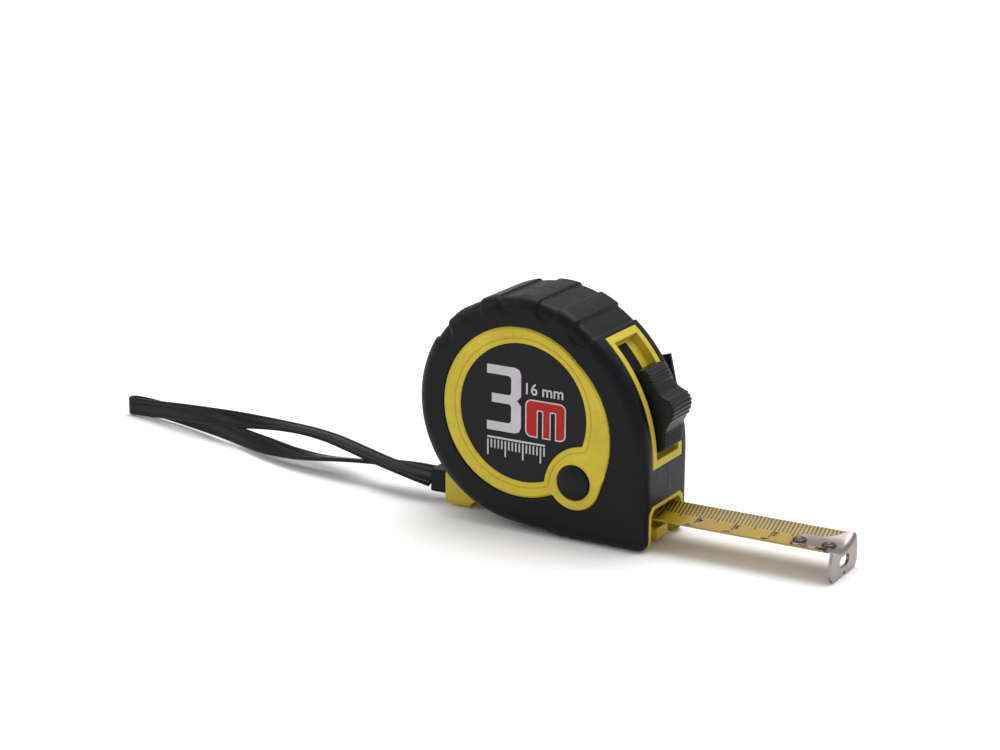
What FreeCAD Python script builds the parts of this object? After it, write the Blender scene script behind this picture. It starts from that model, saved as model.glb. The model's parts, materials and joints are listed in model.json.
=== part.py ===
import FreeCAD, Part
import math
import os

import Sketcher
from FreeCAD import Placement, Rotation, Vector

# A three metre pocket tape measure.  Millimetres, +Z up.  The parts are drawn with X counted
# from the drum's axis, and settle() then brings the origin to the middle of the flat base.
# The blade leaves along +X, and the label side faces -Y.

doc = FreeCAD.newDocument("tape_measure")
sheet = doc.addObject("Spreadsheet::Sheet", "sizes")

SIZES = [
    ("axis_height", 31.0, "drum axis above the base"),
    ("case_radius", 29.5, "rear and top of the case"),
    ("case_shift", 1.0, "centre of the case arc behind the drum axis"),
    ("front_face", 34.0, "front face ahead of the drum axis"),
    ("front_radius", 40.4, "crowned front of the case"),
    ("side_half", 12.6, "half of the case width over the grip"),
    ("edge_round", 3.2, "rounded outer edges of the grip"),
    ("grip_skin", 1.4, "thickness of the rubber grip"),
    ("wall", 1.8, "wall of the plastic shells"),
    ("cavity_half", 9.6, "half of the inner width"),
    ("base_start", 10.0, "where the flat of the base begins"),
    ("base_corner", 2.5, "rounding between base and front"),
    ("base_middle", 20.0, "middle of the base ahead of the drum axis"),
    ("face_half", 12.35, "raised yellow ring"),
    ("ring_radius", 21.9, "outer edge of the yellow ring"),
    ("label_radius", 17.8, "round label"),
    ("label_skin", 0.3, "thickness of a label"),
    ("button_ahead", 14.5, "brake button ahead of the drum axis"),
    ("button_height", 15.4, "brake button above the base"),
    ("button_radius", 4.35, "brake button"),
    ("stem_radius", 1.6, "brake button stem"),
    ("lock_half", 7.9, "half width of the lock frame"),
    ("lock_low", 20.5, "lower end of the lock frame"),
    ("lock_angle", 48.6, "upper end of the lock frame, about the front arc"),
    ("frame_border", 2.0, "border of the lock frame"),
    ("lock_recess", 2.2, "depth of the lock track"),
    ("mouth_half", 9.3, "half width of the mouth frame"),
    ("mouth_top", 11.1, "top of the mouth frame"),
    ("mouth_border", 1.0, "border of the mouth frame"),
    ("nest_depth", 4.0, "hook nest behind the front face"),
    ("blade_half", 7.65, "half chord of the curved blade"),
    ("blade_low", 5.7, "trough of the blade"),
    ("blade_rise", 2.3, "rise of the blade's edges over its trough"),
    ("blade_skin", 0.15, "blade thickness"),
    ("blade_back", 40.0, "where the part of the blade that always stays straight begins"),
    ("blade_front", 79.3, "blade end under the hook"),
    ("hook_face", 81.3, "outer face of the hook"),
    ("hook_skin", 0.9, "hook tab thickness"),
    ("hook_drop", 0.15, "lower edge of the hook above the base plane"),
    ("hook_half", 8.0, "half width of the hook"),
    ("rivet_back", 69.6, "rear rivet"),
    ("rivet_front", 77.2, "front rivet"),
    ("post_radius", 2.6, "spindle post"),
    ("post_fit", 0.06, "running clearance on the post"),
    ("flange_radius", 20.5, "drum flanges"),
    ("flange_inner", 8.2, "inner face of a drum flange"),
    ("flange_outer", 9.0, "outer face of a drum flange"),
    ("hub_radius", 13.8, "drum hub"),
    ("hub_wall", 1.2, "drum hub wall"),
    ("coil_radius", 19.0, "wound blade"),
    ("coil_half", 8.0, "half width of the wound blade"),
    ("screw_radius", 1.2, "case screws"),
    ("boss_radius", 2.6, "screw bosses"),
    ("clip_tilt", 13.0, "belt clip above the horizontal"),
    ("clip_half", 6.0, "half width of the belt clip"),
    ("clip_skin", 0.8, "belt clip steel"),
    ("clip_reach", 28.2, "belt clip tip ahead of the drum axis"),
    ("lug_rear", 27.3, "strap lug behind the drum axis"),
    ("lug_half", 3.9, "half width of the strap lug"),
    ("lug_top", 10.4, "top of the strap lug"),
    ("pin_radius", 1.2, "strap pin"),
    ("strap_wide", 5.0, "strap width"),
    ("strap_skin", 1.0, "strap thickness"),
]
for row, (alias, amount, meaning) in enumerate(SIZES, start=1):
    sheet.set(f"A{row}", alias)
    sheet.set(f"B{row}", str(amount))
    sheet.set(f"C{row}", meaning)
    sheet.setAlias(f"B{row}", alias)
doc.recompute()


def cell(alias):
    return float(sheet.get(alias))


ALONG_X = Vector(1, 0, 0)
ALONG_Y = Vector(0, 1, 0)
ALONG_Z = Vector(0, 0, 1)
AXIS_Z = cell("axis_height")
FACE = cell("face_half")
GRIP_HALF = cell("side_half")
CAVITY = cell("cavity_half")
LABEL_FLOOR = FACE - 0.4
SHELL_HALF = FACE - 1.15
BEYOND = 60.0
sub_parts = []


class Size:
    """A length, with the expression that gives it from the sheet."""

    def __init__(self, text, value):
        self.text = text
        self.value = value

    def __add__(self, other):
        other = as_size(other)
        return Size(f"({self.text} + {other.text})", self.value + other.value)

    def __sub__(self, other):
        return self + -as_size(other)

    def __neg__(self):
        return Size(f"(-1 * {self.text})", -self.value)


def as_size(value):
    return value if isinstance(value, Size) else Size(f"({value})", float(value))


def size(alias):
    return Size(f"sizes.{alias}", cell(alias))


# ---------------------------------------------------------------- shared helpers


def keep(label, shape):
    """A sub-part whose shape is worked out here from the sheet's sizes."""
    feature = doc.addObject("Part::Feature", label)
    feature.Label = label
    place = shape.Placement
    feature.Shape = shape
    feature.Placement = place
    sub_parts.append(feature)


def new_body(label, place=None):
    body = doc.addObject("PartDesign::Body", label)
    body.Label = label
    if place is not None:
        body.Placement = place
    sub_parts.append(body)
    return body


def outline_sketch(body, name, corners, role):
    """A closed outline with each corner bound to the sheet from the sketch origin."""
    sketch = body.newObject("Sketcher::SketchObject", name)
    plane = next(item for item in body.Origin.OriginFeatures if item.Role == role)
    sketch.AttachmentSupport = [(plane, "")]
    sketch.MapMode = "FlatFace"
    corners = [(as_size(across), as_size(along)) for across, along in corners]
    places = [Vector(across.value, along.value, 0) for across, along in corners]
    for start, end in zip(places, places[1:] + places[:1]):
        sketch.addGeometry(Part.LineSegment(start, end))
    count = len(corners)
    for edge in range(count):
        sketch.addConstraint(Sketcher.Constraint("Coincident", edge, 2, (edge + 1) % count, 1))
    for edge, (across, along) in enumerate(corners):
        for kind, distance in (("DistanceX", across), ("DistanceY", along)):
            place = sketch.addConstraint(
                Sketcher.Constraint(kind, -1, 1, edge, 1, distance.value)
            )
            sketch.setExpression(f"Constraints[{place}]", distance.text)
    return sketch


def turned(label, corners, place=None):
    """A body turned about its own Y axis; a corner is (radius, place along Y)."""
    body = new_body(label, place)
    sketch = outline_sketch(body, f"{label}_profile", corners, "XY_Plane")
    turn = body.newObject("PartDesign::Revolution", f"{label}_turn")
    turn.Profile = sketch
    turn.ReferenceAxis = (sketch, ["V_Axis"])
    turn.Angle = 360
    return body


def spot(x, z, y=0.0):
    return Vector(x, y, z)


def polar(centre, radius, degrees):
    angle = math.radians(degrees)
    return centre + Vector(radius * math.cos(angle), 0, radius * math.sin(angle))


def arc_edge(centre, radius, first, last):
    middle = (first + last) / 2
    points = [polar(centre, radius, degrees) for degrees in (first, middle, last)]
    return Part.Arc(*points).toShape()


def line_edge(start, end):
    return Part.LineSegment(start, end).toShape()


def slab(wire, near, far):
    """The closed outline in XZ as a solid from y = near to y = far."""
    face = Part.Face(wire)
    face.translate(Vector(0, near, 0))
    return face.extrude(Vector(0, far - near, 0))


def polygon(points, near, far):
    return slab(Part.makePolygon(list(points) + [points[0]]), near, far)


def disc(centre, radius, near, far):
    return Part.makeCylinder(radius, far - near, Vector(centre.x, near, centre.z), ALONG_Y)


def block(low_x, high_x, low_y, high_y, low_z, high_z):
    corner = Vector(low_x, low_y, low_z)
    return Part.makeBox(high_x - low_x, high_y - low_y, high_z - low_z, corner)


def edges_at(shape, y):
    """The edges that lie wholly in the plane across Y at y."""
    box_of = [(edge, edge.BoundBox) for edge in shape.Edges]
    return [e for e, box in box_of if abs(box.YMin - y) < 0.01 and abs(box.YMax - y) < 0.01]


def one_solid(shape):
    return shape.removeSplitter() if len(shape.Solids) == 1 else shape


# ---------------------------------------------------------------- the case outline

AXIS = spot(0, AXIS_Z)
REAR_CENTRE = spot(-cell("case_shift"), AXIS_Z)
RADIUS = cell("case_radius")
FRONT_RADIUS = cell("front_radius")
front_x = cell("front_face") - FRONT_RADIUS
centre_gap = FRONT_RADIUS - RADIUS
front_drop = math.sqrt(centre_gap**2 - (REAR_CENTRE.x - front_x) ** 2)
FRONT_CENTRE = spot(front_x, AXIS_Z - front_drop)
MEET = math.degrees(math.atan2(front_drop, REAR_CENTRE.x - front_x))
BELLY_ANGLE = -95.0


def case_wire(depth):
    """The side view of the case, moved inwards by depth all round."""
    rear = RADIUS - depth
    front = FRONT_RADIUS - depth
    face = cell("front_face") - depth
    corner = cell("base_corner")
    belly = polar(REAR_CENTRE, rear, BELLY_ANGLE)
    rise = spot(face, FRONT_CENTRE.z)
    round_centre = spot(face - corner, depth + corner)
    base_front = spot(face - corner, depth)
    base_back = spot(cell("base_start"), depth)
    edges = [
        arc_edge(REAR_CENTRE, rear, BELLY_ANGLE, -180.0),
        arc_edge(REAR_CENTRE, rear, 180.0, MEET),
        arc_edge(FRONT_CENTRE, front, MEET, 0.0),
        line_edge(rise, spot(face, depth + corner)),
        arc_edge(round_centre, corner, 0.0, -90.0),
        line_edge(base_front, base_back),
        line_edge(base_back, belly),
    ]
    return Part.Wire(Part.__sortEdges__(edges))


def case_slab(depth, near, far):
    return slab(case_wire(depth), near, far)


# ---------------------------------------------------------------- windows in the grip

BUTTON = spot(cell("button_ahead"), cell("button_height"))
RING_CENTRE = spot(-0.8, AXIS_Z)
SWELL_CENTRE = spot(-0.7, AXIS_Z - 4.5)
SWELL_RADIUS = 25.1
LOBE_RADIUS = 7.2
RING_JOIN = -18.1
BITE_CENTRE = BUTTON + spot(3.5, -2.2)
BITE_RADIUS = 11.8


def ring_slab(near, far, grow=0.0):
    """The yellow ring's outer outline: a circle that swells towards the brake button."""
    rays = [polar(SWELL_CENTRE, BEYOND, degrees) for degrees in (-36.0, 10.0, 50.0)]
    swell = disc(SWELL_CENTRE, SWELL_RADIUS + grow, near, far)
    swell = swell.common(polygon([SWELL_CENTRE] + rays, near, far))
    whole = disc(RING_CENTRE, cell("ring_radius") + grow, near, far)
    join = [
        SWELL_CENTRE,
        polar(SWELL_CENTRE, SWELL_RADIUS + grow, RING_JOIN),
        polar(BUTTON, LOBE_RADIUS + grow, RING_JOIN),
        BUTTON,
    ]
    lobe = disc(BUTTON, LOBE_RADIUS + grow, near, far)
    whole = whole.fuse([swell, lobe, polygon(join, near, far)])
    return one_solid(whole)


def label_slab(near, far, grow=0.0):
    """The round label with a bite taken out beside the brake button."""
    whole = disc(AXIS, cell("label_radius") + grow, near, far)
    return whole.cut(disc(BITE_CENTRE, BITE_RADIUS - grow, near, far))


def lock_sector(border, near, far):
    """The stretch of the crowned front that the lock frame takes, less a border."""
    angle = cell("lock_angle") - math.degrees(border / FRONT_RADIUS)
    low = cell("lock_low") + border
    points = [
        spot(FRONT_CENTRE.x, low),
        spot(BEYOND, low),
        polar(FRONT_CENTRE, BEYOND, angle / 2),
        polar(FRONT_CENTRE, BEYOND, angle),
        FRONT_CENTRE,
    ]
    return polygon(points, near, far)


def mouth_block(border, near, far):
    """The mouth frame's outline, with its upper corner chamfered."""
    half = cell("mouth_half") - border
    top = cell("mouth_top") - border
    bevel = 1.6
    whole = block(26.0, 40.0, near, far, -1.0, top)
    for edge_y in (-half, half):
        inner = edge_y - math.copysign(bevel, edge_y)
        corner = Part.makePolygon(
            [
                Vector(26.0, edge_y, top + 0.01),
                Vector(26.0, inner, top + 0.01),
                Vector(26.0, edge_y, top - bevel),
                Vector(26.0, edge_y, top + 0.01),
            ]
        )
        whole = whole.cut(Part.Face(corner).extrude(Vector(14.0, 0, 0)))
    return whole


def lug_block(near, far):
    """The strap lug at the lower rear of the case; its underside rises to the belly."""
    rear = -cell("lug_rear")
    top = cell("lug_top")
    profile = [(rear, top), (rear, 0.0), (rear + 6.2, 0.0), (-15.0, 5.5), (-12.0, top)]
    whole = polygon([spot(x, z) for x, z in profile], near, far)
    upright = [
        edge
        for edge in whole.Edges
        if abs(edge.BoundBox.XMax - rear) < 0.01 and edge.BoundBox.ZLength < 0.01
    ]
    return whole.makeFillet(2.4, upright)


def lug_section(near):
    """A bar along X with its lower outer edge eased, for the lug to be trimmed to."""
    across = [(0.0, 0.0), (near + 1.6, 0.0), (near + 0.5, 0.45), (near, 1.6), (near, 12.0)]
    corners = [Vector(-BEYOND, y, z) for y, z in across + [(0.0, 12.0)]]
    return Part.Face(Part.makePolygon(corners + corners[:1])).extrude(Vector(BEYOND, 0, 0))


# ---------------------------------------------------------------- shells

SCREW_SPOTS = [spot(-17.5, 48.5), spot(-20.0, 17.0), spot(13.0, 52.5)]
TONGUE_SLOT = (-5.9, -3.1)


def mirrored(shape):
    return shape.mirror(Vector(0, 0, 0), ALONG_Y)


def shell_blank():
    """The left half before its holes: walls, ring, frames, lug and bosses, hollowed."""
    skin = cell("grip_skin")
    core = case_slab(skin, -SHELL_HALF, 0.0)
    core = core.makeFillet(cell("edge_round") - skin, edges_at(core, -SHELL_HALF))
    ring = ring_slab(-FACE, -SHELL_HALF + 0.5)
    ring = ring.makeFillet(0.5, edges_at(ring, -FACE))
    frame = case_slab(0.0, -cell("lock_half"), 0.0)
    frame = frame.common(lock_sector(0.0, -cell("lock_half"), 0.0))
    lip = case_slab(0.0, -cell("mouth_half"), 0.0)
    lip = lip.common(mouth_block(0.0, -cell("mouth_half"), 0.0))
    lug = lug_block(-cell("lug_half"), 0.0)
    lug = lug.common(lug_section(-cell("lug_half")))
    whole = core.fuse([ring, frame, lip, lug])
    hollow = case_slab(skin + cell("wall"), -CAVITY, 1.0)
    hollow = hollow.cut(block(26.0, BEYOND, -CAVITY, 1.0, -1.0, 12.0))
    whole = whole.cut(hollow)
    bosses = [disc(place, cell("boss_radius"), -CAVITY - 0.2, 0.0) for place in SCREW_SPOTS]
    return whole.fuse(bosses)


def open_front(whole):
    """Cut the blade's way out, the hook nest and the lock track."""
    border = cell("mouth_border")
    half = cell("mouth_half") - border
    top = cell("mouth_top") - border
    nest_back = cell("front_face") - cell("nest_depth")
    nest = mouth_block(border, -half, half).common(block(nest_back, 40, -half, half, -1, top))
    way = mouth_block(border, -half, half).common(block(26, 40, -half, half, 4.4, top))
    inner_half = cell("lock_half") - cell("frame_border")
    track = case_slab(-1.0, -inner_half, inner_half)
    track = track.cut(case_slab(cell("lock_recess"), -inner_half, inner_half))
    track = track.common(lock_sector(cell("frame_border"), -inner_half, inner_half))
    slot = case_slab(-1.0, *TONGUE_SLOT).cut(case_slab(6.0, *TONGUE_SLOT))
    slot = slot.common(lock_sector(cell("frame_border"), *TONGUE_SLOT))
    return whole.cut([nest, way, track, slot])


FORK_HALF = 2.9


def strap_pocket():
    """The open fork at the rear of the lug and the bore of its pin."""
    rear = -cell("lug_rear")
    fork = block(rear - 1.0, rear + 5.4, -FORK_HALF, FORK_HALF, 2.4, 8.2)
    pin = Part.makeCylinder(cell("pin_radius"), 8.6, Vector(rear + 2.6, 0, 1.0), ALONG_Z)
    return [fork, pin]


LEVER_TIP = polar(BUTTON, 5.6, 132.9)
LEVER_RADIUS = 2.4
LEVER_FACE = CAVITY + 0.6


def lever_slab(grow, near, far):
    """A round-ended strip from the brake button towards the drum axis."""
    radius = LEVER_RADIUS + grow
    across = (LEVER_TIP - BUTTON).cross(ALONG_Y).normalize() * radius
    ends = [BUTTON + across, LEVER_TIP + across, LEVER_TIP - across, BUTTON - across]
    strip = polygon(ends, near, far)
    return strip.fuse([disc(BUTTON, radius, near, far), disc(LEVER_TIP, radius, near, far)])


def side_openings():
    """Label recess with its engraved line, brake button well, stem bore and lever pocket."""
    engraved = label_slab(-FACE - 1, -FACE + 0.3, 1.6)
    engraved = engraved.cut(label_slab(-FACE - 1, -FACE + 0.3, 1.25))
    return [
        label_slab(-FACE - 1, -LABEL_FLOOR),
        engraved,
        disc(BUTTON, cell("button_radius") + 0.2, -FACE - 1, -FACE + 1.1),
        disc(BUTTON, cell("stem_radius") + 0.08, -FACE - 1, -CAVITY + 1),
        lever_slab(0.2, -CAVITY - 1.25, -CAVITY + 0.05),
    ]


def build_shells():
    blank = shell_blank()
    left = open_front(blank).cut(side_openings() + strap_pocket())
    pilots = [disc(place, cell("screw_radius"), -6.5, 1.0) for place in SCREW_SPOTS]
    keep("left_shell", one_solid(left.cut(pilots)))
    right = open_front(mirrored(blank)).cut([mirrored(hole) for hole in side_openings()])
    right = right.cut(strap_pocket())
    shanks = [disc(place, cell("screw_radius"), -1.0, 20.0) for place in SCREW_SPOTS]
    heads = [disc(place, 2.4, 10.2, 20.0) for place in SCREW_SPOTS]
    clip_bore = disc(AXIS, cell("screw_radius"), 5.0, 20.0)
    keep("right_shell", one_solid(right.cut(shanks + heads + [clip_bore])))


# ---------------------------------------------------------------- rubber grips

TREAD_ANGLES = [52.5 + 22.5 * step for step in range(5)]
TREAD_HALF = 2.9
BELLY_SCOOPS = [(4.6, 4.2, 1.8), (17.7, 1.5, 1.0), (22.5, 1.5, 1.0)]


def tread_cutters():
    """Wide shallow channels over the crown, each with a round end on the side."""
    depth = 0.6
    inner = case_slab(depth, -GRIP_HALF + depth, 1.0)
    inner = inner.makeFillet(cell("edge_round") - depth, edges_at(inner, -GRIP_HALF + depth))
    cutters = []
    for degrees in TREAD_ANGLES:
        foot = polar(REAR_CENTRE, RADIUS - 1.9, degrees)
        head = polar(REAR_CENTRE, RADIUS + 6.0, degrees)
        across = (head - foot).cross(ALONG_Y).normalize() * TREAD_HALF
        strip = polygon(
            [foot - across, head - across, head + across, foot + across], -GRIP_HALF - 1, 1.0
        )
        strip = strip.fuse(disc(foot, TREAD_HALF, -GRIP_HALF - 1, 1.0))
        cutters.append(strip.cut(inner))
    return cutters


def grip_half():
    skin = cell("grip_skin")
    outer = case_slab(0.0, -GRIP_HALF, 0.0)
    outer = outer.makeFillet(cell("edge_round"), edges_at(outer, -GRIP_HALF))
    core = case_slab(skin, -SHELL_HALF, 1.0)
    core = core.makeFillet(cell("edge_round") - skin, edges_at(core, -SHELL_HALF))
    windows = [
        core,
        ring_slab(-GRIP_HALF - 1, -SHELL_HALF + 0.5),
        lock_sector(0.0, -cell("lock_half"), 1.0),
        mouth_block(0.0, -cell("mouth_half"), 1.0),
        lug_block(-cell("lug_half"), 1.0),
    ]
    scoops = [
        disc(spot(x, top - radius), radius, -GRIP_HALF - 1, 1.0)
        for x, radius, top in BELLY_SCOOPS
    ]
    for cutter in windows + scoops + tread_cutters():
        outer = outer.cut(cutter)
    return outer


def build_grips():
    left = grip_half()
    keep("left_grip", left)
    holes = [disc(place, 2.8, 9.0, 20.0) for place in SCREW_SPOTS]
    keep("right_grip", mirrored(left).cut(holes))


# ---------------------------------------------------------------- labels, screws and clip


def build_labels():
    label = label_slab(-LABEL_FLOOR - cell("label_skin"), -LABEL_FLOOR, -0.1)
    keep("left_label", label)
    keep("right_label", mirrored(label).cut(disc(AXIS, 1.3, 5.0, 20.0)))


def build_case_screws():
    screws = []
    for place in SCREW_SPOTS:
        head = disc(place, 2.2, 10.2, 11.4)
        shank = disc(place, cell("screw_radius"), -6.5, 10.2)
        bar = block(-1.4, 1.4, 10.9, 12.0, -0.25, 0.25)
        cross = [bar.copy(), bar.copy()]
        cross[1].rotate(Vector(0, 0, 0), ALONG_Y, 90.0)
        for slot in cross:
            slot.translate(place)
        screws.append(head.fuse(shank).cut(cross))
    keep("case_screws", Part.makeCompound(screws))


def build_belt_clip():
    """A folded steel strip: base under the screw, a round fold, and a flared outer leaf."""
    skin = cell("clip_skin")
    half = cell("clip_half")
    base = block(-16.0, 6.5, 12.4, 12.4 + skin, -half, half)
    fold_centre = Vector(-16.0, 15.0, -half)
    fold = Part.makeCylinder(2.6, 2 * half, fold_centre, ALONG_Z)
    fold = fold.cut(Part.makeCylinder(2.6 - skin, 2 * half, fold_centre, ALONG_Z))
    fold = fold.cut(block(-16.0, 0.0, 10.0, 20.0, -half, half))
    tip = cell("clip_reach")
    inner = [(-16.0, 16.8), (19.0, 13.5), (21.0, 13.6), (tip, 16.2)]
    outer = [(across, along + skin) for across, along in reversed(inner)]
    corners = [Vector(across, along, -half) for across, along in inner + outer]
    leaf = Part.Face(Part.makePolygon(corners + corners[:1])).extrude(Vector(0, 0, 2 * half))
    whole = base.fuse([fold, leaf])
    whole = whole.cut(Part.makeCylinder(1.3, 6.0, Vector(0, 10.0, 0), ALONG_Y))
    whole.rotate(Vector(0, 0, 0), ALONG_Y, -cell("clip_tilt"))
    whole.translate(AXIS)
    keep("belt_clip", whole)


def at_axis():
    return Placement(AXIS, Rotation())


def build_spindle():
    """Spindle post, its thrust washers and the clip screw that enters its end."""
    post = size("post_radius")
    bore = size("screw_radius")
    end = size("cavity_half")
    turned(
        "spindle_post",
        [(0, -end), (post, -end), (post, end), (bore, end), (bore, 3.0), (0, 3.0)],
        at_axis(),
    )
    turned(
        "belt_clip_screw",
        [(0, 3.1), (bore, 3.1), (bore, 13.2), (2.7, 13.2), (2.7, 13.9), (2.0, 14.4), (0, 14.4)],
        at_axis(),
    )
    washers = []
    for near, far in ((-CAVITY + 0.1, -CAVITY + 0.45), (CAVITY - 0.45, CAVITY - 0.1)):
        ring = disc(AXIS, 5.0, near, far)
        washers.append(ring.cut(disc(AXIS, cell("post_radius") + 0.1, near, far)))
    keep("thrust_washers", Part.makeCompound(washers))


# ---------------------------------------------------------------- drum


def build_drum():
    bore = size("post_radius") + size("post_fit")
    flange = size("flange_radius")
    inner = size("flange_inner")
    outer = size("flange_outer")
    hub = size("hub_radius")
    hollow = hub - size("hub_wall")
    boss = bore + 1.5
    turned(
        "drum",
        [
            (bore, -outer),
            (flange, -outer),
            (flange, -inner),
            (hub, -inner),
            (hub, inner),
            (hollow, inner),
            (hollow, -inner),
            (boss, -inner),
            (boss, -6.5),
            (bore, -6.5),
        ],
        at_axis(),
    )
    turned(
        "drum_lid",
        [
            (bore, 6.5),
            (boss, 6.5),
            (boss, inner),
            (hollow - 1.2, inner),
            (hollow - 1.2, 7.2),
            (hollow - 0.1, 7.2),
            (hollow - 0.1, inner),
            (flange, inner),
            (flange, outer),
            (bore, outer),
        ],
        at_axis(),
    )
    turned("power_spring", [(5.4, -7.6), (12.3, -7.6), (12.3, 6.9), (5.4, 6.9)], at_axis())
    half = size("coil_half")
    coil = size("coil_radius")
    wound = hub + 0.05
    turned("blade_coil", [(wound, -half), (coil, -half), (coil, half), (wound, half)], at_axis())


# ---------------------------------------------------------------- brake buttons


def build_buttons():
    """On each side: domed cap with its stem, wave spring, brake lever and brake pad."""
    radius = size("button_radius")
    stem = size("stem_radius")
    place = Placement(BUTTON, Rotation())
    for side, name in ((-1, "left"), (1, "right")):
        crown, rim, under, end = [side * reach for reach in (13.8, 12.3, 13.0, LEVER_FACE)]
        body = turned(
            f"{name}_button",
            [
                (0, crown),
                (radius, crown),
                (radius, rim),
                (radius - 0.55, rim),
                (radius - 0.55, under),
                (stem, under),
                (stem, end),
                (0, end),
            ],
            place,
        )
        round_rim(body, crown, 1.35)
        near, far = sorted((side * 12.95, side * (FACE - 1.05)))
        spring = disc(BUTTON, 3.5, near, far).cut(disc(BUTTON, 2.0, near, far))
        keep(f"{name}_button_spring", spring)
        near, far = sorted((side * (LEVER_FACE + 0.5), side * LEVER_FACE))
        lever = lever_slab(0.0, near, far).cut(disc(BUTTON, cell("stem_radius"), near, far))
        keep(f"{name}_brake_lever", lever)
        near, far = sorted((side * LEVER_FACE, side * (LEVER_FACE - 0.2)))
        keep(f"{name}_brake_pad", disc(LEVER_TIP, 1.9, near, far))


def round_rim(body, along, radius):
    """Round the widest edge of a turned body at one place along its axis."""
    doc.recompute()
    turn = body.Tip
    level = [
        (edge.BoundBox.XLength, f"Edge{number}")
        for number, edge in enumerate(turn.Shape.Edges, start=1)
        if abs(edge.BoundBox.YMin - along) < 0.01 and abs(edge.BoundBox.YMax - along) < 0.01
    ]
    fillet = body.newObject("PartDesign::Fillet", f"{body.Label}_round")
    fillet.Base = (turn, [max(level)[1]])
    fillet.Radius = radius


# ---------------------------------------------------------------- thumb lock

THUMB_TOP = 33.0
THUMB_FOOT = 4.0
THUMB_NEAR = -4.9
THUMB_FAR = 5.6
THUMB_CREST = [
    (33.0, 0.0),
    (32.4, 2.2),
    (30.0, 2.7),
    (26.0, 2.5),
    (23.2, 3.3),
    (20.6, 5.2),
    (18.4, 5.6),
    (16.2, 5.1),
    (14.3, 4.1),
    (11.3, 2.1),
    (5.0, 1.1),
    (4.0, 0.0),
]
LEG = [(30.0, 25.6), (28.6, 16.0), (20.6, 9.6), (16.0, 9.6), (16.0, 11.2)]
LEG_BACK = [(19.8, 11.2), (26.9, 16.8), (28.3, 25.6)]


def front_band(inner, outer, first, last, near, far):
    """A stretch of ring about the centre of the crowned front."""
    ring = disc(FRONT_CENTRE, outer, near, far).cut(disc(FRONT_CENTRE, inner, near, far))
    rays = [polar(FRONT_CENTRE, BEYOND, degrees) for degrees in (first, (first + last) / 2, last)]
    return ring.common(polygon([FRONT_CENTRE] + rays, near, far))


def build_thumb_lock():
    """Thumb pad and carriage outside, a web through the slot, and a leg down to the shoe."""
    pad = [polar(FRONT_CENTRE, FRONT_RADIUS + rise, angle) for angle, rise in THUMB_CREST]
    foot = polar(FRONT_CENTRE, FRONT_RADIUS - 1.0, THUMB_FOOT)
    middle = polar(FRONT_CENTRE, FRONT_RADIUS - 1.0, (THUMB_FOOT + THUMB_TOP) / 2)
    head = polar(FRONT_CENTRE, FRONT_RADIUS - 1.0, THUMB_TOP)
    thumb = polygon(pad + [foot, middle, head], THUMB_NEAR, THUMB_FAR)
    carriage = front_band(
        FRONT_RADIUS - 1.9, FRONT_RADIUS, THUMB_FOOT, THUMB_TOP, THUMB_NEAR, THUMB_FAR
    )
    web_far = TONGUE_SLOT[1] - 0.3
    web = front_band(FRONT_RADIUS - 5.0, FRONT_RADIUS - 1.8, 6.0, 20.0, THUMB_NEAR, web_far)
    keeper = front_band(FRONT_RADIUS - 5.3, FRONT_RADIUS - 3.6, 5.0, 20.0, THUMB_NEAR, 4.0)
    leg = polygon([spot(x, z) for x, z in LEG + LEG_BACK], -4.0, 4.0)
    keep("thumb_lock", thumb.fuse([carriage, web, keeper, leg]))
    keep("lock_shoe", block(16.0, 19.6, -5.0, 5.0, 8.3, 9.6))


# ---------------------------------------------------------------- blade and hook

BLADE_RADIUS = (cell("blade_half") ** 2 + cell("blade_rise") ** 2) / (2 * cell("blade_rise"))
BLADE_CENTRE_Z = cell("blade_low") + BLADE_RADIUS
RIVETS = [cell("rivet_back"), cell("rivet_front")]
FEED_END = 27.0


def trough(radius, skin, half, back, front):
    """A strip along X that is curved like the blade, hollow side up."""
    start = Vector(back, 0, BLADE_CENTRE_Z)
    ring = Part.makeCylinder(radius, front - back, start, ALONG_X)
    ring = ring.cut(Part.makeCylinder(radius - skin, front - back, start, ALONG_X))
    return ring.common(block(back, front, -half, half, 0.0, BLADE_CENTRE_Z - 4.0))


def upright(x, radius, low, high):
    return Part.makeCylinder(radius, high - low, Vector(x, 0, low), ALONG_Z)


def build_blade():
    blade = trough(
        BLADE_RADIUS,
        cell("blade_skin"),
        cell("blade_half"),
        cell("blade_back"),
        cell("blade_front"),
    )
    keep("blade_tip", blade.cut([upright(x, 0.9, 4.0, 8.0) for x in RIVETS]))
    run = [(-1.5, 11.6), (12.0, 7.6), (FEED_END, cell("blade_low"))]
    over = [(x, z + cell("blade_skin")) for x, z in reversed(run)]
    half = cell("blade_half") - 0.1
    feed = polygon([spot(x, z) for x, z in run + over], -half, half)
    back = cell("blade_back") - 0.1
    straight = trough(BLADE_RADIUS, cell("blade_skin"), cell("blade_half"), FEED_END + 0.1, back)
    keep("blade_feed", Part.makeCompound([feed, straight]))
    rivets = []
    for x in RIVETS:
        shank = upright(x, 0.9, 5.3, 7.0)
        head = upright(x, 1.7, 6.9, 7.5)
        crown = [edge for edge in head.Edges if edge.BoundBox.ZMin > 7.49]
        head = head.makeFillet(0.4, crown)
        rivets.append(shank.fuse([head, upright(x, 1.5, 5.2, 5.62)]))
    keep("hook_rivets", Part.makeCompound(rivets))


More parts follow.
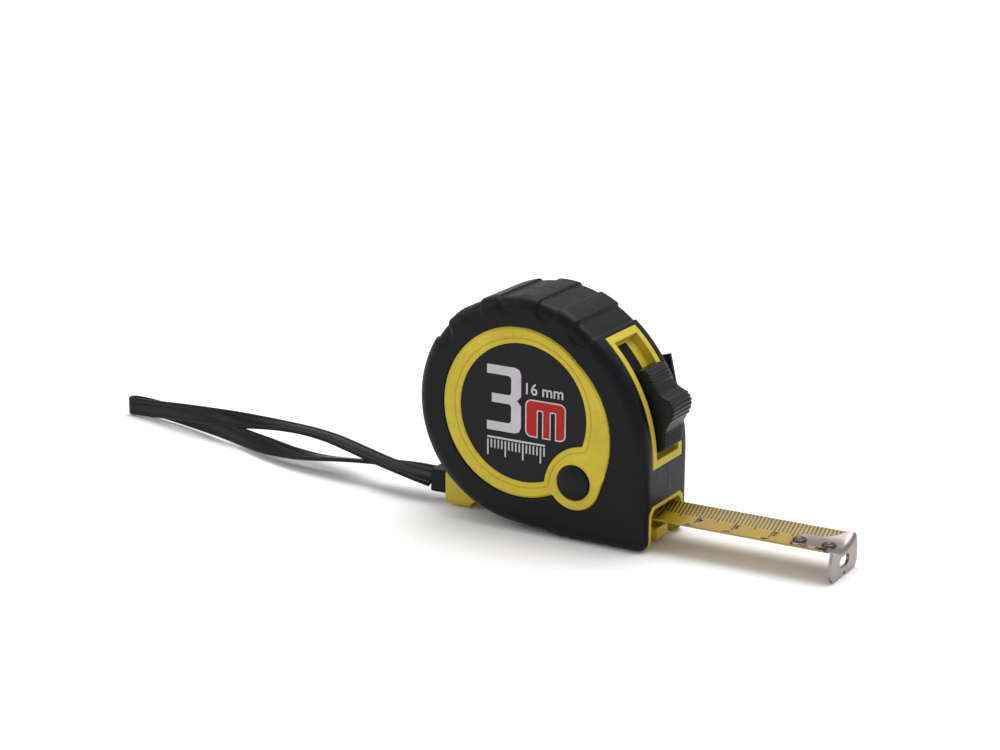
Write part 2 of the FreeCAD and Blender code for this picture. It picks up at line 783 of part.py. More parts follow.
def build_hook():
    """A curved plate on the blade and a tab with a nail slot, punched from one strip."""
    face = cell("hook_face")
    skin = cell("hook_skin")
    half = cell("hook_half")
    low = cell("hook_drop")
    seat = BLADE_RADIUS - cell("blade_skin") - 0.12
    plate_skin = 0.7
    plate_piece = trough(seat, plate_skin, 6.6, 68.0, face - 0.5 * skin)
    slots = []
    for x in RIVETS:
        slots += [upright(x, 1.0, 4.0, 9.0), upright(x + 0.8, 1.0, 4.0, 9.0)]
        slots.append(block(x, x + 0.8, -1.0, 1.0, 4.0, 9.0))
    tab = block(face - skin, face, -half, half, low, 8.6)
    over = Vector(face - 2, 0, BLADE_CENTRE_Z)
    hollow = Part.makeCylinder(seat - plate_skin, 4.0, over, ALONG_X)
    boxes = [(edge, edge.BoundBox) for edge in tab.Edges]
    lower = [edge for edge, box in boxes if box.ZMax < low + 0.01 and box.YLength < 0.01]
    tab = tab.makeChamfer(1.2, lower)
    nail = [
        Part.makeCylinder(1.4, 4.0, Vector(face - 2, y, 3.6), ALONG_X) for y in (-1.6, 1.6)
    ]
    nail.append(block(face - 2, face + 2, -1.6, 1.6, 2.2, 5.0))
    notch = block(face - 2, face + 2, -0.8, 0.8, 0.0, low + 0.8)
    tab = tab.cut([hollow, notch] + nail)
    keep("end_hook", tab.fuse(plate_piece.cut(slots)))
    nest_back = cell("front_face") - cell("nest_depth")
    keep("hook_bumper", block(nest_back, nest_back + 3.0, -3.0, 3.0, 1.0, 4.0))


# ---------------------------------------------------------------- wrist strap

EYE_X = -cell("lug_rear") + 2.6
STRAP_EXIT = Vector(-32.2, 0, 5.6)
STRAP_TILT = 1.47
STRAP_ROUTE = [
    (-32.4, 1.8),
    (-44.0, 3.0),
    (-58.0, 6.8),
    (-74.0, 12.6),
    (-90.0, 18.2),
    (-107.0, 21.4),
    (-123.5, 22.2),
    (-136.8, 22.9),
    (-144.3, 23.1),
    (-147.2, 21.2),
    (-147.2, 18.6),
    (-144.3, 16.9),
    (-136.8, 15.6),
    (-123.5, 12.6),
    (-107.0, 8.2),
    (-90.0, 4.4),
    (-74.0, 1.6),
    (-58.0, -0.8),
    (-44.0, -1.9),
    (-32.4, -1.8),
]


def rounded_path(points):
    """Straight runs joined by tangent arcs, each as large as its two runs allow."""
    edges = []
    start = points[0]
    for before, corner, after in zip(points, points[1:], points[2:]):
        back, ahead = before - corner, after - corner
        reach = 0.45 * min(back.Length, ahead.Length)
        half_turn = (math.pi - back.getAngle(ahead)) / 2
        radius = reach / math.tan(half_turn)
        back.normalize()
        ahead.normalize()
        first, last = corner + back * reach, corner + ahead * reach
        centre = corner + (back + ahead).normalize() * (radius / math.cos(half_turn))
        middle = centre + (corner - centre).normalize() * radius
        edges += [line_edge(start, first), Part.Arc(first, middle, last).toShape()]
        start = last
    edges.append(line_edge(start, points[-1]))
    return Part.Wire(edges)


def build_strap():
    """The flat strap on edge, the eye round its pin, the crimped clamp and the pin."""
    wide = cell("strap_wide")
    skin = cell("strap_skin")
    path = rounded_path([Vector(x, y, 0) for x, y in STRAP_ROUTE])
    start = Vector(*STRAP_ROUTE[0], 0)
    ahead = (Vector(*STRAP_ROUTE[1], 0) - start).normalize()
    across = ahead.cross(ALONG_Z) * (skin / 2)
    rise = ALONG_Z * (wide / 2)
    corners = [start + across - rise, start + across + rise, start - across + rise]
    corners.append(start - across - rise)
    sweep = Part.BRepOffsetAPI.MakePipeShell(path)
    sweep.setBiNormalMode(ALONG_Z)
    sweep.add(Part.makePolygon(corners + corners[:1]))
    sweep.build()
    sweep.makeSolid()
    strap = sweep.shape()
    strap.rotate(Vector(STRAP_EXIT.x, 0, 0), ALONG_Y, -STRAP_TILT)
    strap.translate(Vector(0, 0, STRAP_EXIT.z))
    print(f"strap length {path.Length:.1f}, lowest {strap.BoundBox.ZMin:.2f}")
    keep("wrist_strap", strap)
    low, high = STRAP_EXIT.z - wide / 2, STRAP_EXIT.z + wide / 2
    bend = Part.makeCylinder(2.3, wide, Vector(EYE_X, 0, low), ALONG_Z)
    bend = bend.fuse(block(STRAP_EXIT.x, EYE_X, -2.3, 2.3, low, high))
    hollow = Part.makeCylinder(1.3, wide, Vector(EYE_X, 0, low), ALONG_Z)
    hollow = hollow.fuse(block(STRAP_EXIT.x, EYE_X, -1.3, 1.3, low, high))
    keep("strap_eye", bend.cut(hollow))
    clamp = block(STRAP_EXIT.x, STRAP_EXIT.x + 4.2, -3.0, 3.0, low - 0.6, high + 0.6)
    rounded = [edge for edge in clamp.Edges if edge.BoundBox.XLength > 1.0]
    clamp = clamp.makeFillet(0.8, rounded)
    legs = block(STRAP_EXIT.x, EYE_X, -2.3, 2.3, low, high)
    legs = legs.cut(block(STRAP_EXIT.x, EYE_X, -1.3, 1.3, low, high))
    keep("strap_clamp", clamp.cut(legs))
    pin = doc.addObject("Part::Cylinder", "strap_pin")
    pin.Label = "strap_pin"
    pin.setExpression("Radius", "sizes.pin_radius")
    pin.Height = 8.6
    pin.Placement = Placement(Vector(EYE_X, 0, 1.0), Rotation())
    sub_parts.append(pin)


# ---------------------------------------------------------------- make, test and export


def settle():
    """Move every sub-part so that the origin is the middle of the flat base."""
    for item in sub_parts:
        place = item.Placement
        place.Base = place.Base - Vector(cell("base_middle"), 0, 0)
        item.Placement = place


def export_parts():
    os.makedirs("parts", exist_ok=True)
    doc.recompute()
    broken = [item.Label for item in doc.Objects if {"Invalid", "Error"} & set(item.State)]
    if broken:
        raise RuntimeError(f"not computed: {broken}")
    for item in sub_parts:
        shape = item.Shape
        if shape.isNull() or not shape.isValid() or not shape.Solids:
            raise RuntimeError(f"{item.Label} has no valid solid")
    for item in sub_parts:
        shape = item.Shape
        print(f"{item.Label}: {len(shape.Solids)} solid, {shape.Volume:.1f} mm3")
        shape.exportStep(f"parts/{item.Label}.step")


build_shells()
build_grips()
build_labels()
build_case_screws()
build_belt_clip()
build_spindle()
build_drum()
build_buttons()
build_thumb_lock()
build_blade()
build_hook()
build_strap()
settle()
export_parts()
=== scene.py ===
"""Looks for a three metre pocket tape measure, laid out as an add-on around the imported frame."""

import json
import math

import bmesh
import bpy
import numpy as np
from bpy.props import FloatProperty, FloatVectorProperty, IntProperty, PointerProperty
from bpy.types import Operator, Panel, PropertyGroup
from mathutils import Matrix, Vector

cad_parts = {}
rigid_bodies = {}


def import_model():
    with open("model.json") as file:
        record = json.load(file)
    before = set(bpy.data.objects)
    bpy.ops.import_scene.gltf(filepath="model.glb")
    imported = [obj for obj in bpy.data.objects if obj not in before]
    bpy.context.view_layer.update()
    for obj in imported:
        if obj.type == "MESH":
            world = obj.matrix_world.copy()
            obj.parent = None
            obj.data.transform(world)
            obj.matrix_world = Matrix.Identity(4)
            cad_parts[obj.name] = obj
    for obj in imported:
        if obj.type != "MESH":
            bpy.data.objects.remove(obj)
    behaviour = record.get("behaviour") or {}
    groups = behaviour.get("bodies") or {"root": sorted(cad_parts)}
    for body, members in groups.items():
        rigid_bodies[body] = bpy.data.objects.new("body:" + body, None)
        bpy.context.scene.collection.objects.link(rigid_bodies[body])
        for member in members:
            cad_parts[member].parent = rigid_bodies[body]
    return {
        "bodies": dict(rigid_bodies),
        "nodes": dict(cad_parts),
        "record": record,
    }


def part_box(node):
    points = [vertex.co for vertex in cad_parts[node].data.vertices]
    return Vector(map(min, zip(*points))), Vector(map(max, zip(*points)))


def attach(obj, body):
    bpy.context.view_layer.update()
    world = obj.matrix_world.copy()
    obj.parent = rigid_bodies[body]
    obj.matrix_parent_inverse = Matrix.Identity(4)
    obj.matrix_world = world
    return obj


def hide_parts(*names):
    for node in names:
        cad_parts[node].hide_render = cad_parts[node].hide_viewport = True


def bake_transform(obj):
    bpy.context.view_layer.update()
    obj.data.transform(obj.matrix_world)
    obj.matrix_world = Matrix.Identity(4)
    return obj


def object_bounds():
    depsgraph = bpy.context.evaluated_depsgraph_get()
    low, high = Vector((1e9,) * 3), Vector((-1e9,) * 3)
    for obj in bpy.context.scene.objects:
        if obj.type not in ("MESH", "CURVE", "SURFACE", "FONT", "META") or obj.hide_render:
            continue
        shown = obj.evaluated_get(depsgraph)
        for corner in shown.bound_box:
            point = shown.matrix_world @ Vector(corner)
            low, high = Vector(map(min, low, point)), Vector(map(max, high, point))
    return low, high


bl_info = {
    "name": "Pocket tape measure",
    "version": (1, 0, 0),
    "blender": (4, 5, 0),
    "location": "View3D > Sidebar > Tape",
    "description": "Builds the visible pieces of a pocket tape measure around its packed frame",
    "category": "Object",
}

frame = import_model()
CAD_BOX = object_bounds()
MM = 0.001

# ------------------------------------------------------------------ places
# Piece outlines are in millimetres, counted from the drum's axis along X and from the base
# along Z. DRUM_X, the strap's route and the settings are in metres.

drum_low, drum_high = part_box("drum")
DRUM_X = (drum_low.x + drum_high.x) / 2
AXIS_Z = (drum_low.z + drum_high.z) / 2 / MM
button_low, button_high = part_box("left_button")
BUTTON_X = ((button_low.x + button_high.x) / 2 - DRUM_X) / MM
BUTTON_Z = (button_low.z + button_high.z) / 2 / MM
FRONT_X, FRONT_Z, FRONT_RADIUS = -6.4, 21.53, 40.4
HOOK_FACE = (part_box("end_hook")[1].x - DRUM_X) / MM
BLADE_RADIUS, BLADE_CENTRE_Z, BLADE_HALF = 13.87, 19.57, 7.65
BLADE_SKIN = 0.15
STRIP_START, STRIP_FREE, STRIP_END = 28.0, 33.0, 78.7
HOOK_NOSE, HOOK_HALF, HOOK_LOW, HOOK_GAP = 67.8, 7.5, 0.15, 0.06
RIVET_SPOTS = (69.6, 77.2)
WELL_RADIUS = 4.62
THUMB_HALF, THUMB_MIDDLE = 5.31, 0.35
TRACK_FLOOR, TRACK_NEAR, TRACK_FAR = 38.21, -5.86, 2.3
PRINT_LEVEL = 12.27


def placed(points):
    """Millimetres from the drum's axis, turned into metres in the frame."""
    points = np.asarray(points, float) * MM
    points[:, 0] += DRUM_X
    return points


# ------------------------------------------------------------------ settings


class TapeSizes(PropertyGroup):
    grip_cell: FloatProperty(
        name="Grip cell",
        description="Cell of the mesh that rounds the moulded grip's edges",
        default=0.00028,
        unit="LENGTH",
    )
    ring_crown: FloatProperty(
        name="Ring crown",
        description="How far the yellow ring stands over the middle of the case",
        default=0.01262,
        unit="LENGTH",
    )
    tick_width: FloatProperty(
        name="Tick width",
        description="Width of a printed graduation",
        default=0.00038,
        unit="LENGTH",
    )
    rib_height: FloatProperty(
        name="Rib height",
        description="Height of the ribs on the thumb lock",
        default=0.00028,
        unit="LENGTH",
    )
    hook_skin: FloatProperty(
        name="Hook thickness",
        description="Thickness of the hook's steel",
        default=0.0008,
        unit="LENGTH",
    )
    lathe_steps: IntProperty(
        name="Lathe steps",
        description="Steps round a turned piece",
        default=64,
        min=16,
    )


def colour_property(name, description, default):
    return FloatVectorProperty(
        name=name, description=description, default=default, subtype="COLOR", size=3, min=0, max=1
    )


class TapeColours(PropertyGroup):
    rubber: colour_property("Rubber", "Moulded grip", (0.0028, 0.0029, 0.0042))
    yellow: colour_property("Yellow", "Moulded shells", (0.55, 0.43, 0.038))
    lacquer: colour_property("Lacquer", "Blade's printed face", (0.37, 0.235, 0.009))
    ink: colour_property("Ink", "Graduations", (0.012, 0.009, 0.006))
    label: colour_property("Label", "Label film", (0.006, 0.006, 0.007))
    pale_print: colour_property("Pale print", "Light print on the label", (0.50, 0.47, 0.50))
    red_print: colour_property("Red print", "Red print on the label", (0.38, 0.014, 0.009))
    black: colour_property("Black plastic", "Button and thumb lock", (0.005, 0.005, 0.006))
    vinyl: colour_property("Vinyl", "Wrist strap", (0.003, 0.003, 0.0035))
    nickel: colour_property("Nickel", "Hook", (0.33, 0.28, 0.27))


# ------------------------------------------------------------------ shader building


class Value:
    """A socket's output. Sums on it add the Math nodes."""

    def __init__(self, tree, socket):
        self.tree = tree
        self.socket = socket

    def sum_with(self, operation, *others):
        values = dict(enumerate((self, *others)))
        return self.tree.node("ShaderNodeMath", {"operation": operation}, values)

    def __add__(self, other):
        return self.sum_with("ADD", other)

    def __sub__(self, other):
        return self.sum_with("SUBTRACT", other)

    def __mul__(self, other):
        return self.sum_with("MULTIPLY", other)

    def __truediv__(self, other):
        return self.sum_with("DIVIDE", other)

    def __rsub__(self, other):
        return self.tree.node("ShaderNodeMath", {"operation": "SUBTRACT"}, {0: other, 1: self})

    __radd__ = __add__
    __rmul__ = __mul__

    def __lt__(self, other):
        return self.sum_with("LESS_THAN", other)

    def __gt__(self, other):
        return self.sum_with("GREATER_THAN", other)

    def between(self, low, high):
        return (self > low) * (self < high)

    def most(self, other):
        return self.sum_with("MAXIMUM", other)


class Tree:
    """The node tree of one material, with its Principled shader."""

    def __init__(self, name, **constants):
        self.material = bpy.data.materials.new(f"{name}_finish")
        self.material.use_nodes = True
        self.nodes = self.material.node_tree.nodes
        self.links = self.material.node_tree.links
        self.shader = self.nodes["Principled BSDF"]
        for socket, value in constants.items():
            self.shader.inputs[socket.replace("_", " ")].default_value = value

    def node(self, kind, settings=None, inputs=None, out=0):
        made = self.nodes.new(kind)
        for key, value in (settings or {}).items():
            setattr(made, key, value)
        for key, value in (inputs or {}).items():
            self.plug(value, made.inputs[key])
        return Value(self, made.outputs[out])

    def plug(self, value, socket):
        if isinstance(value, Value):
            self.links.new(value.socket, socket)
        else:
            socket.default_value = value

    def feed(self, **inputs):
        for socket, value in inputs.items():
            self.plug(value, self.shader.inputs[socket.replace("_", " ")])

    def fold(self, value, pitch):
        """How far value is from the nearest whole multiple of pitch."""
        shifted = value + pitch / 2
        whole = self.node("ShaderNodeMath", {"operation": "FLOORED_MODULO"}, {0: shifted, 1: pitch})
        offset = whole - pitch / 2
        return self.node("ShaderNodeMath", {"operation": "ABSOLUTE"}, {0: offset})

    def place(self, body="case"):
        """The place on the body it rides on, in metres, in the frame at rest."""
        return self.node(
            "ShaderNodeTexCoord", {"object": frame["bodies"][body]}, {}, out="Object"
        )

    def axes(self, vector):
        split = self.nodes.new("ShaderNodeSeparateXYZ")
        self.plug(vector, split.inputs[0])
        return [Value(self, out) for out in split.outputs]

    def noise(self, vector, scale, detail=3.0, rough=0.5):
        inputs = {"Vector": vector, "Scale": scale, "Detail": detail, "Roughness": rough}
        return self.node("ShaderNodeTexNoise", {"normalize": True}, inputs, out="Fac")

    def ramp(self, value, low, high, first, last):
        """Value's stretch low to high mapped to first to last, held beyond them."""
        inputs = {"Value": value, "From Min": low, "From Max": high, "To Min": first, "To Max": last}
        return self.node("ShaderNodeMapRange", {"clamp": True}, inputs)

    def blend(self, factor, first, last):
        return self.node("ShaderNodeMix", {"data_type": "RGBA"}, {0: factor, 6: first, 7: last}, out=2)

    def softened(self, radius):
        """The normal with the edges rounded over."""
        return self.node("ShaderNodeBevel", {"samples": 6}, {"Radius": radius})

    def bump(self, height, strength, distance, normal=None):
        inputs = {"Height": height, "Strength": strength, "Distance": distance}
        if normal is not None:
            inputs["Normal"] = normal
        return self.node("ShaderNodeBump", None, inputs)


def rgba(colour, gain=1.0):
    return (*[min(1.0, part * gain) for part in colour], 1.0)


MATT_SPECULAR = 0.17


def moulded(name, colour, rough, grain=5200.0, relief=0.14, edge=0.00018, body="case", **constants):
    """A moulded finish: faint mottling, an even spark grain and softly rounded edges."""
    tree = Tree(name, **{"Specular_IOR_Level": MATT_SPECULAR, **constants})
    place = tree.place(body)
    cloud = tree.noise(place, 90.0, 3.0)
    grit = tree.noise(place, grain, 2.0, 0.6)
    smear = tree.noise(place, 420.0, 4.0, 0.62)
    shade = tree.ramp(cloud * 0.6 + smear * 0.4, 0.34, 0.66, 0.0, 1.0)
    tree.feed(
        Base_Color=tree.blend(shade, rgba(colour, 0.88), rgba(colour, 1.12)),
        Roughness=tree.ramp(smear * 0.7 + grit * 0.3, 0.3, 0.7, rough - 0.07, rough + 0.07),
        Normal=tree.bump(grit, relief, 0.00006, tree.softened(edge) if edge else None),
    )
    return tree.material


def turned_steel(name, colour, rough):
    """Plated steel with fine drawn lines and a few dull patches."""
    tree = Tree(name, Metallic=1.0)
    place = tree.place()
    drawn = tree.node("ShaderNodeMapping", {"vector_type": "POINT"}, {0: place, 3: (220, 2600, 2600)})
    lines = tree.noise(drawn, 1.0, 3.0, 0.6)
    patch = tree.noise(place, 260.0, 3.0)
    tree.feed(
        Base_Color=tree.blend(patch, rgba(colour, 0.82), rgba(colour, 1.1)),
        Roughness=tree.ramp(patch * 0.6 + lines * 0.4, 0.3, 0.7, rough - 0.08, rough + 0.1),
        Normal=tree.bump(lines, 0.08, 0.00003, tree.softened(0.00015)),
    )
    return tree.material


def wound(name, colour, pitch):
    """The edges of a strip wound on itself, seen as rings about the drum's axis, with painted shade in
    the gaps between turns.
    """
    tree = Tree(name)
    place = tree.place("drum")
    across, _, up = tree.axes(place)
    side, rise = across - DRUM_X, up - AXIS_Z * MM
    radius = tree.node("ShaderNodeMath", {"operation": "SQRT"}, {0: side * side + rise * rise})
    ridge_and_shade = tree.fold(radius, pitch) / (pitch / 2)
    fleck = tree.noise(place, 900.0, 3.0)
    tree.feed(
        # Painted shade: colour falls to a quarter at each join between turns; the same wave also bumps
        # each turn as a ridge.
        Base_Color=tree.blend(ridge_and_shade, rgba(colour, 0.25), rgba(colour)),
        Roughness=tree.ramp(fleck, 0.3, 0.7, 0.3, 0.5),
        Normal=tree.bump(ridge_and_shade, 0.5, 0.00005),
    )
    return tree.material


# Lengths of the graduations from the blade's far edge, in metres, by their pitch.
TICK_LENGTHS = {0.001: 0.0038, 0.005: 0.0047, 0.010: 0.0072}
NEAR_BORDER = 0.0152
ROSE_ALONG, ROSE_ACROSS = (0.0331, 0.0384), (-0.0043, 0.0008)


def printed_blade(colours, tick):
    """Lacquered blade with millimetre, half and whole centimetre ticks along its far edge."""
    tree = Tree("blade_lacquer", Coat_Weight=0.35, Coat_Roughness=0.22)
    place = tree.place("blade")
    along, across, _ = tree.axes(place)
    from_hook = (DRUM_X + HOOK_FACE * MM) - along
    edge = BLADE_HALF * MM - across
    marks = []
    for pitch, length in TICK_LENGTHS.items():
        half_tick = tick / 2 * (1.15 if pitch == 0.010 else 1.0)
        marks.append((tree.fold(from_hook, pitch) < half_tick) * (edge < length))
    fine, five, ten = marks
    facing = tree.axes(tree.node("ShaderNodeNewGeometry", None, None, out="Normal"))[2] > 0.0
    border = (edge > NEAR_BORDER) * (tree.fold(from_hook, 0.010) < 0.0001)
    print_on = fine.most(five).most(ten).most(border) * facing
    worn = tree.noise(place, 700.0, 4.0, 0.6)
    cloud = tree.noise(place, 160.0, 3.0)
    rose = from_hook.between(*ROSE_ALONG) * across.between(*ROSE_ACROSS) * facing
    paper = tree.noise(place, 3800.0, 2.0)
    lines = (tree.fold(from_hook, 0.0007) < 0.00016) * (paper > 0.42)
    ground = tree.blend(cloud, rgba(colours.lacquer, 0.84), rgba(colours.lacquer, 1.16))
    ground = tree.blend(rose * 0.55, ground, (0.50, 0.235, 0.10, 1.0))
    ground = tree.blend(rose * lines * 0.5, ground, (0.40, 0.05, 0.02, 1.0))
    tree.feed(
        Base_Color=tree.blend(print_on * tree.ramp(worn, 0.25, 0.4, 0.8, 1.0), ground, rgba(colours.ink)),
        Roughness=tree.ramp(worn, 0.3, 0.7, 0.3, 0.46),
        Normal=tree.bump(print_on * 0.5 + worn * 0.15, 0.2, 0.00004),
    )
    return tree.material


def plated(name, colour, body):
    """Bright nickel over pressed steel: soft ripples, fine scratches, duller in the hollows."""
    tree = Tree(name, Metallic=1.0)
    place = tree.place(body)
    ripple = tree.noise(place, 330.0, 2.0)
    drawn = tree.node("ShaderNodeMapping", {"vector_type": "POINT"}, {0: place, 3: (900, 5200, 900)})
    scratch = tree.noise(drawn, 1.0, 4.0, 0.65)
    tree.feed(
        Base_Color=tree.blend(ripple, rgba(colour, 0.9), rgba(colour, 1.08)),
        Roughness=tree.ramp(ripple * 0.5 + scratch * 0.5, 0.3, 0.7, 0.22, 0.40),
        Normal=tree.bump(ripple * 0.6 + scratch * 0.4, 0.14, 0.00008, tree.softened(0.0001)),
    )
    return tree.material


def make_finishes(colours, sizes):
    """Every finish, by the record's material slot or by its own name."""
    steel = (0.55, 0.55, 0.56)
    return {
        "grip_rubber": moulded("grip_rubber", colours.rubber, 0.40, 4200.0, 0.22, None),
        "shell_yellow": moulded("shell_yellow", colours.yellow, 0.40, 5200.0, 0.10, 0.00022),
        "label_film": moulded("label_film", colours.label, 0.30, 3200.0, 0.05, 0.0001),
        "black_plastic": moulded("black_plastic", colours.black, 0.34, 5600.0, 0.12, 0.00012),
        "inner_plastic": moulded("inner_plastic", (0.02, 0.02, 0.02), 0.6),
        "pad_rubber": moulded("pad_rubber", (0.02, 0.02, 0.02), 0.7, 3000.0, 0.3),
        "strap_vinyl": moulded("strap_vinyl", colours.vinyl, 0.33, 3600.0, 0.16, None),
        "clip_steel": moulded("clip_steel", (0.014, 0.014, 0.015), 0.42, 4200.0, 0.2, 0.00015),
        "zinc_screw": turned_steel("zinc_screw", steel, 0.32),
        # Both wound finishes darken their colour towards each join between turns: painted shade in the
        # gaps.
        "spring_steel": wound("spring_steel", (0.20, 0.21, 0.25), 0.0009),
        "coil": wound("coil_edges", (0.06, 0.04, 0.01), 0.0006),
        "blade_lacquer": printed_blade(colours, sizes.tick_width),
        "hook_nickel": plated("hook_nickel", colours.nickel, "hook"),
        "rivet_nickel": plated("rivet_nickel", (0.10, 0.085, 0.08), "blade"),
        # Near-black painted shade for the dark sheet laid on the lock's track.
        "slot_shade": moulded("slot_shade", (0.004, 0.004, 0.004), 0.7, 3000.0, 0.1, None),
        "pale_print": moulded("pale_print", colours.pale_print, 0.36, 3200.0, 0.05, None),
        "red_print": moulded("red_print", colours.red_print, 0.36, 3200.0, 0.05, None),
        "ink": moulded("ink", colours.ink, 0.4, 3200.0, 0.05, None, "blade"),
    }


# ------------------------------------------------------------------ mesh building


def settled(piece, body, slot, finish=None, replaces=(), smooth=40.0):
    """Give a piece its finish (its own, else its slot's), its smooth shading and the body it rides on."""
    mesh = piece.data
    mesh.materials.clear()
    mesh.materials.append(bpy.data.materials[f"{finish or slot}_finish"])
    mesh.shade_smooth()
    mesh.set_sharp_from_angle(angle=math.radians(smooth))
    if replaces:
        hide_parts(*replaces)
    if body is not None:
        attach(piece, body)
    return piece


def grid_faces(rows, columns, wrap_rows=False, wrap_columns=False):
    faces = []
    for row in range(rows if wrap_rows else rows - 1):
        for column in range(columns if wrap_columns else columns - 1):
            after_row, after = (row + 1) % rows, (column + 1) % columns
            faces.append(
                (
                    row * columns + column,
                    row * columns + after,
                    after_row * columns + after,
                    after_row * columns + column,
                )
            )
    return faces


def outward(mesh_object):
    """Turn every face outwards and drop doubled points."""
    shape = bmesh.new()
    shape.from_mesh(mesh_object.data)
    bmesh.ops.remove_doubles(shape, verts=shape.verts, dist=1e-7)
    bmesh.ops.recalc_face_normals(shape, faces=shape.faces)
    shape.to_mesh(mesh_object.data)
    shape.free()


def apply_all(piece):
    """Turn a piece's modifiers into its mesh."""
    graph = bpy.context.evaluated_depsgraph_get()
    mesh = bpy.data.meshes.new_from_object(piece.evaluated_get(graph))
    piece.modifiers.clear()
    piece.data = mesh


def cut_with(piece, cutter):
    """Take the cutter's closed shape out of the piece."""
    change = piece.modifiers.new("cut", "BOOLEAN")
    change.operation = "DIFFERENCE"
    change.solver = "EXACT"
    change.object = cutter
    apply_all(piece)
    bpy.data.objects.remove(cutter)


def loose_mesh(name, points, faces):
    mesh = bpy.data.meshes.new(name)
    mesh.from_pydata([tuple(point) for point in placed(points)], [], faces)
    piece = bpy.data.objects.new(name, mesh)
    bpy.context.scene.collection.objects.link(piece)
    outward(piece)
    return piece


def prism(name, outline, near, far, flat="xz"):
    """A closed prism over an outline: in XZ from y near to far, or in YZ from x near to far."""
    count = len(outline)
    points = []
    for level in (near, far):
        for across, up in outline:
            points.append((across, level, up) if flat == "xz" else (level, across, up))
    faces = [tuple(range(count)), tuple(range(count, 2 * count))]
    faces += [(i, (i + 1) % count, (i + 1) % count + count, i + count) for i in range(count)]
    return loose_mesh(name, points, faces)


def round_outline(centre_x, centre_z, radius, steps=48):
    turns = np.linspace(0, 2 * math.pi, steps, endpoint=False)
    return [(centre_x + radius * math.cos(t), centre_z + radius * math.sin(t)) for t in turns]


def lathe(profile, centre, axis, steps):
    """Points and faces of a closed profile of (radius, along) turned about Y or Z."""
    turns = np.linspace(0, 2 * math.pi, steps, endpoint=False)
    points = []
    for turn in turns:
        for radius, along in profile:
            side, rise = radius * math.cos(turn), radius * math.sin(turn)
            if axis == "y":
                points.append((centre[0] + side, along, centre[1] + rise))
            else:
                points.append((centre[0] + side, centre[1] + rise, along))
    return points, grid_faces(steps, len(profile), wrap_rows=True)


# ------------------------------------------------------------------ wrist strap

STRAP_EXIT = (-0.0522, 0.0018, 0.0056)
STRAP_WIDE, STRAP_SKIN, STRAP_LENGTH = 0.005, 0.001, 0.2373
STRAP_FALL = math.tan(math.radians(1.47))
STRAP_ROUTE = [
    (-0.0524, 0.0018),
    (-0.0640, 0.0030),
    (-0.0780, 0.0068),
    (-0.0940, 0.0126),
    (-0.1100, 0.0182),
    (-0.1270, 0.0214),
    (-0.1435, 0.0222),
    (-0.1568, 0.0229),
    (-0.1643, 0.0231),
    (-0.1672, 0.0212),
    (-0.1672, 0.0186),
    (-0.1643, 0.0169),
    (-0.1568, 0.0156),
    (-0.1435, 0.0126),
    (-0.1270, 0.0082),
    (-0.1100, 0.0044),
    (-0.0940, 0.0016),
    (-0.0780, -0.0008),
    (-0.0640, -0.0019),
    (-0.0524, -0.0018),
]
# How far the limp band lies aside of and above each of those places, in millimetres.
STRAP_LIE = [
    (0, 0),
    (4, 1.5),
    (2, 0.5),
    (0.5, -1),
    (1, -1),
    (3, -0.5),
    (4, -0.5),
    (4, 0),
    (4, 0),
    (2, 0),
    (-2.5, 0),
    (-4.5, 0),
    (-5.5, 0.5),
    (-8, 2),
    (-10, 3),
    (-6.5, 3.5),
    (-3, 3.5),
    (-3, 2.5),
    (-4.5, 1.5),
    (0, 0),
]

# Lean of the band's upper edge away from the label side, in degrees, by its place along X.
LEAN_PLACES = [-150, -122, -110, -101, -94, -86, -75, -67, -56, -47, -40, -35, -32]
LEANS_OUT = [0, 0, 2, 8, 30, 60, 86, 102, 106, 96, 82, 62, 40]
LEANS_BACK = [0, 4, 26, 52, 72, 84, 86, 85, 84, 82, 78, 62, 40]
LEAN_REACH = 12


def smooth_line(points):
    """Points along the smooth line that a route of points in metres steers."""
    curve = bpy.data.curves.new("strap_line", "CURVE")
    curve.dimensions = "3D"
    spline = curve.splines.new("NURBS")
    spline.points.add(len(points) - 1)
    for point, place in zip(spline.points, points):
        point.co = (*place, 1.0)
    spline.order_u = 3
    spline.use_endpoint_u = True
    curve.resolution_u = 16
    holder = bpy.data.objects.new("strap_line", curve)
    bpy.context.scene.collection.objects.link(holder)
    bpy.context.view_layer.update()
    graph = bpy.context.evaluated_depsgraph_get()
    mesh = bpy.data.meshes.new_from_object(holder.evaluated_get(graph))
    line = np.array([vertex.co for vertex in mesh.vertices])
    bpy.data.objects.remove(holder)
    steps = np.linalg.norm(np.diff(line, axis=0), axis=1)
    return line[np.concatenate([[True], steps > 1e-6])]


def crossed_route():
    """The route with its two strands changing sides once, in front of the clamp."""
    order = [STRAP_ROUTE[0], *STRAP_ROUTE[-2:0:-1], STRAP_ROUTE[-1]]
    places = []
    for (x, y), (aside, above) in zip(order, STRAP_LIE):
        level = STRAP_EXIT[2] + (x - STRAP_EXIT[0]) * STRAP_FALL
        places.append((x, y + aside * MM, level + above * MM))
    return places


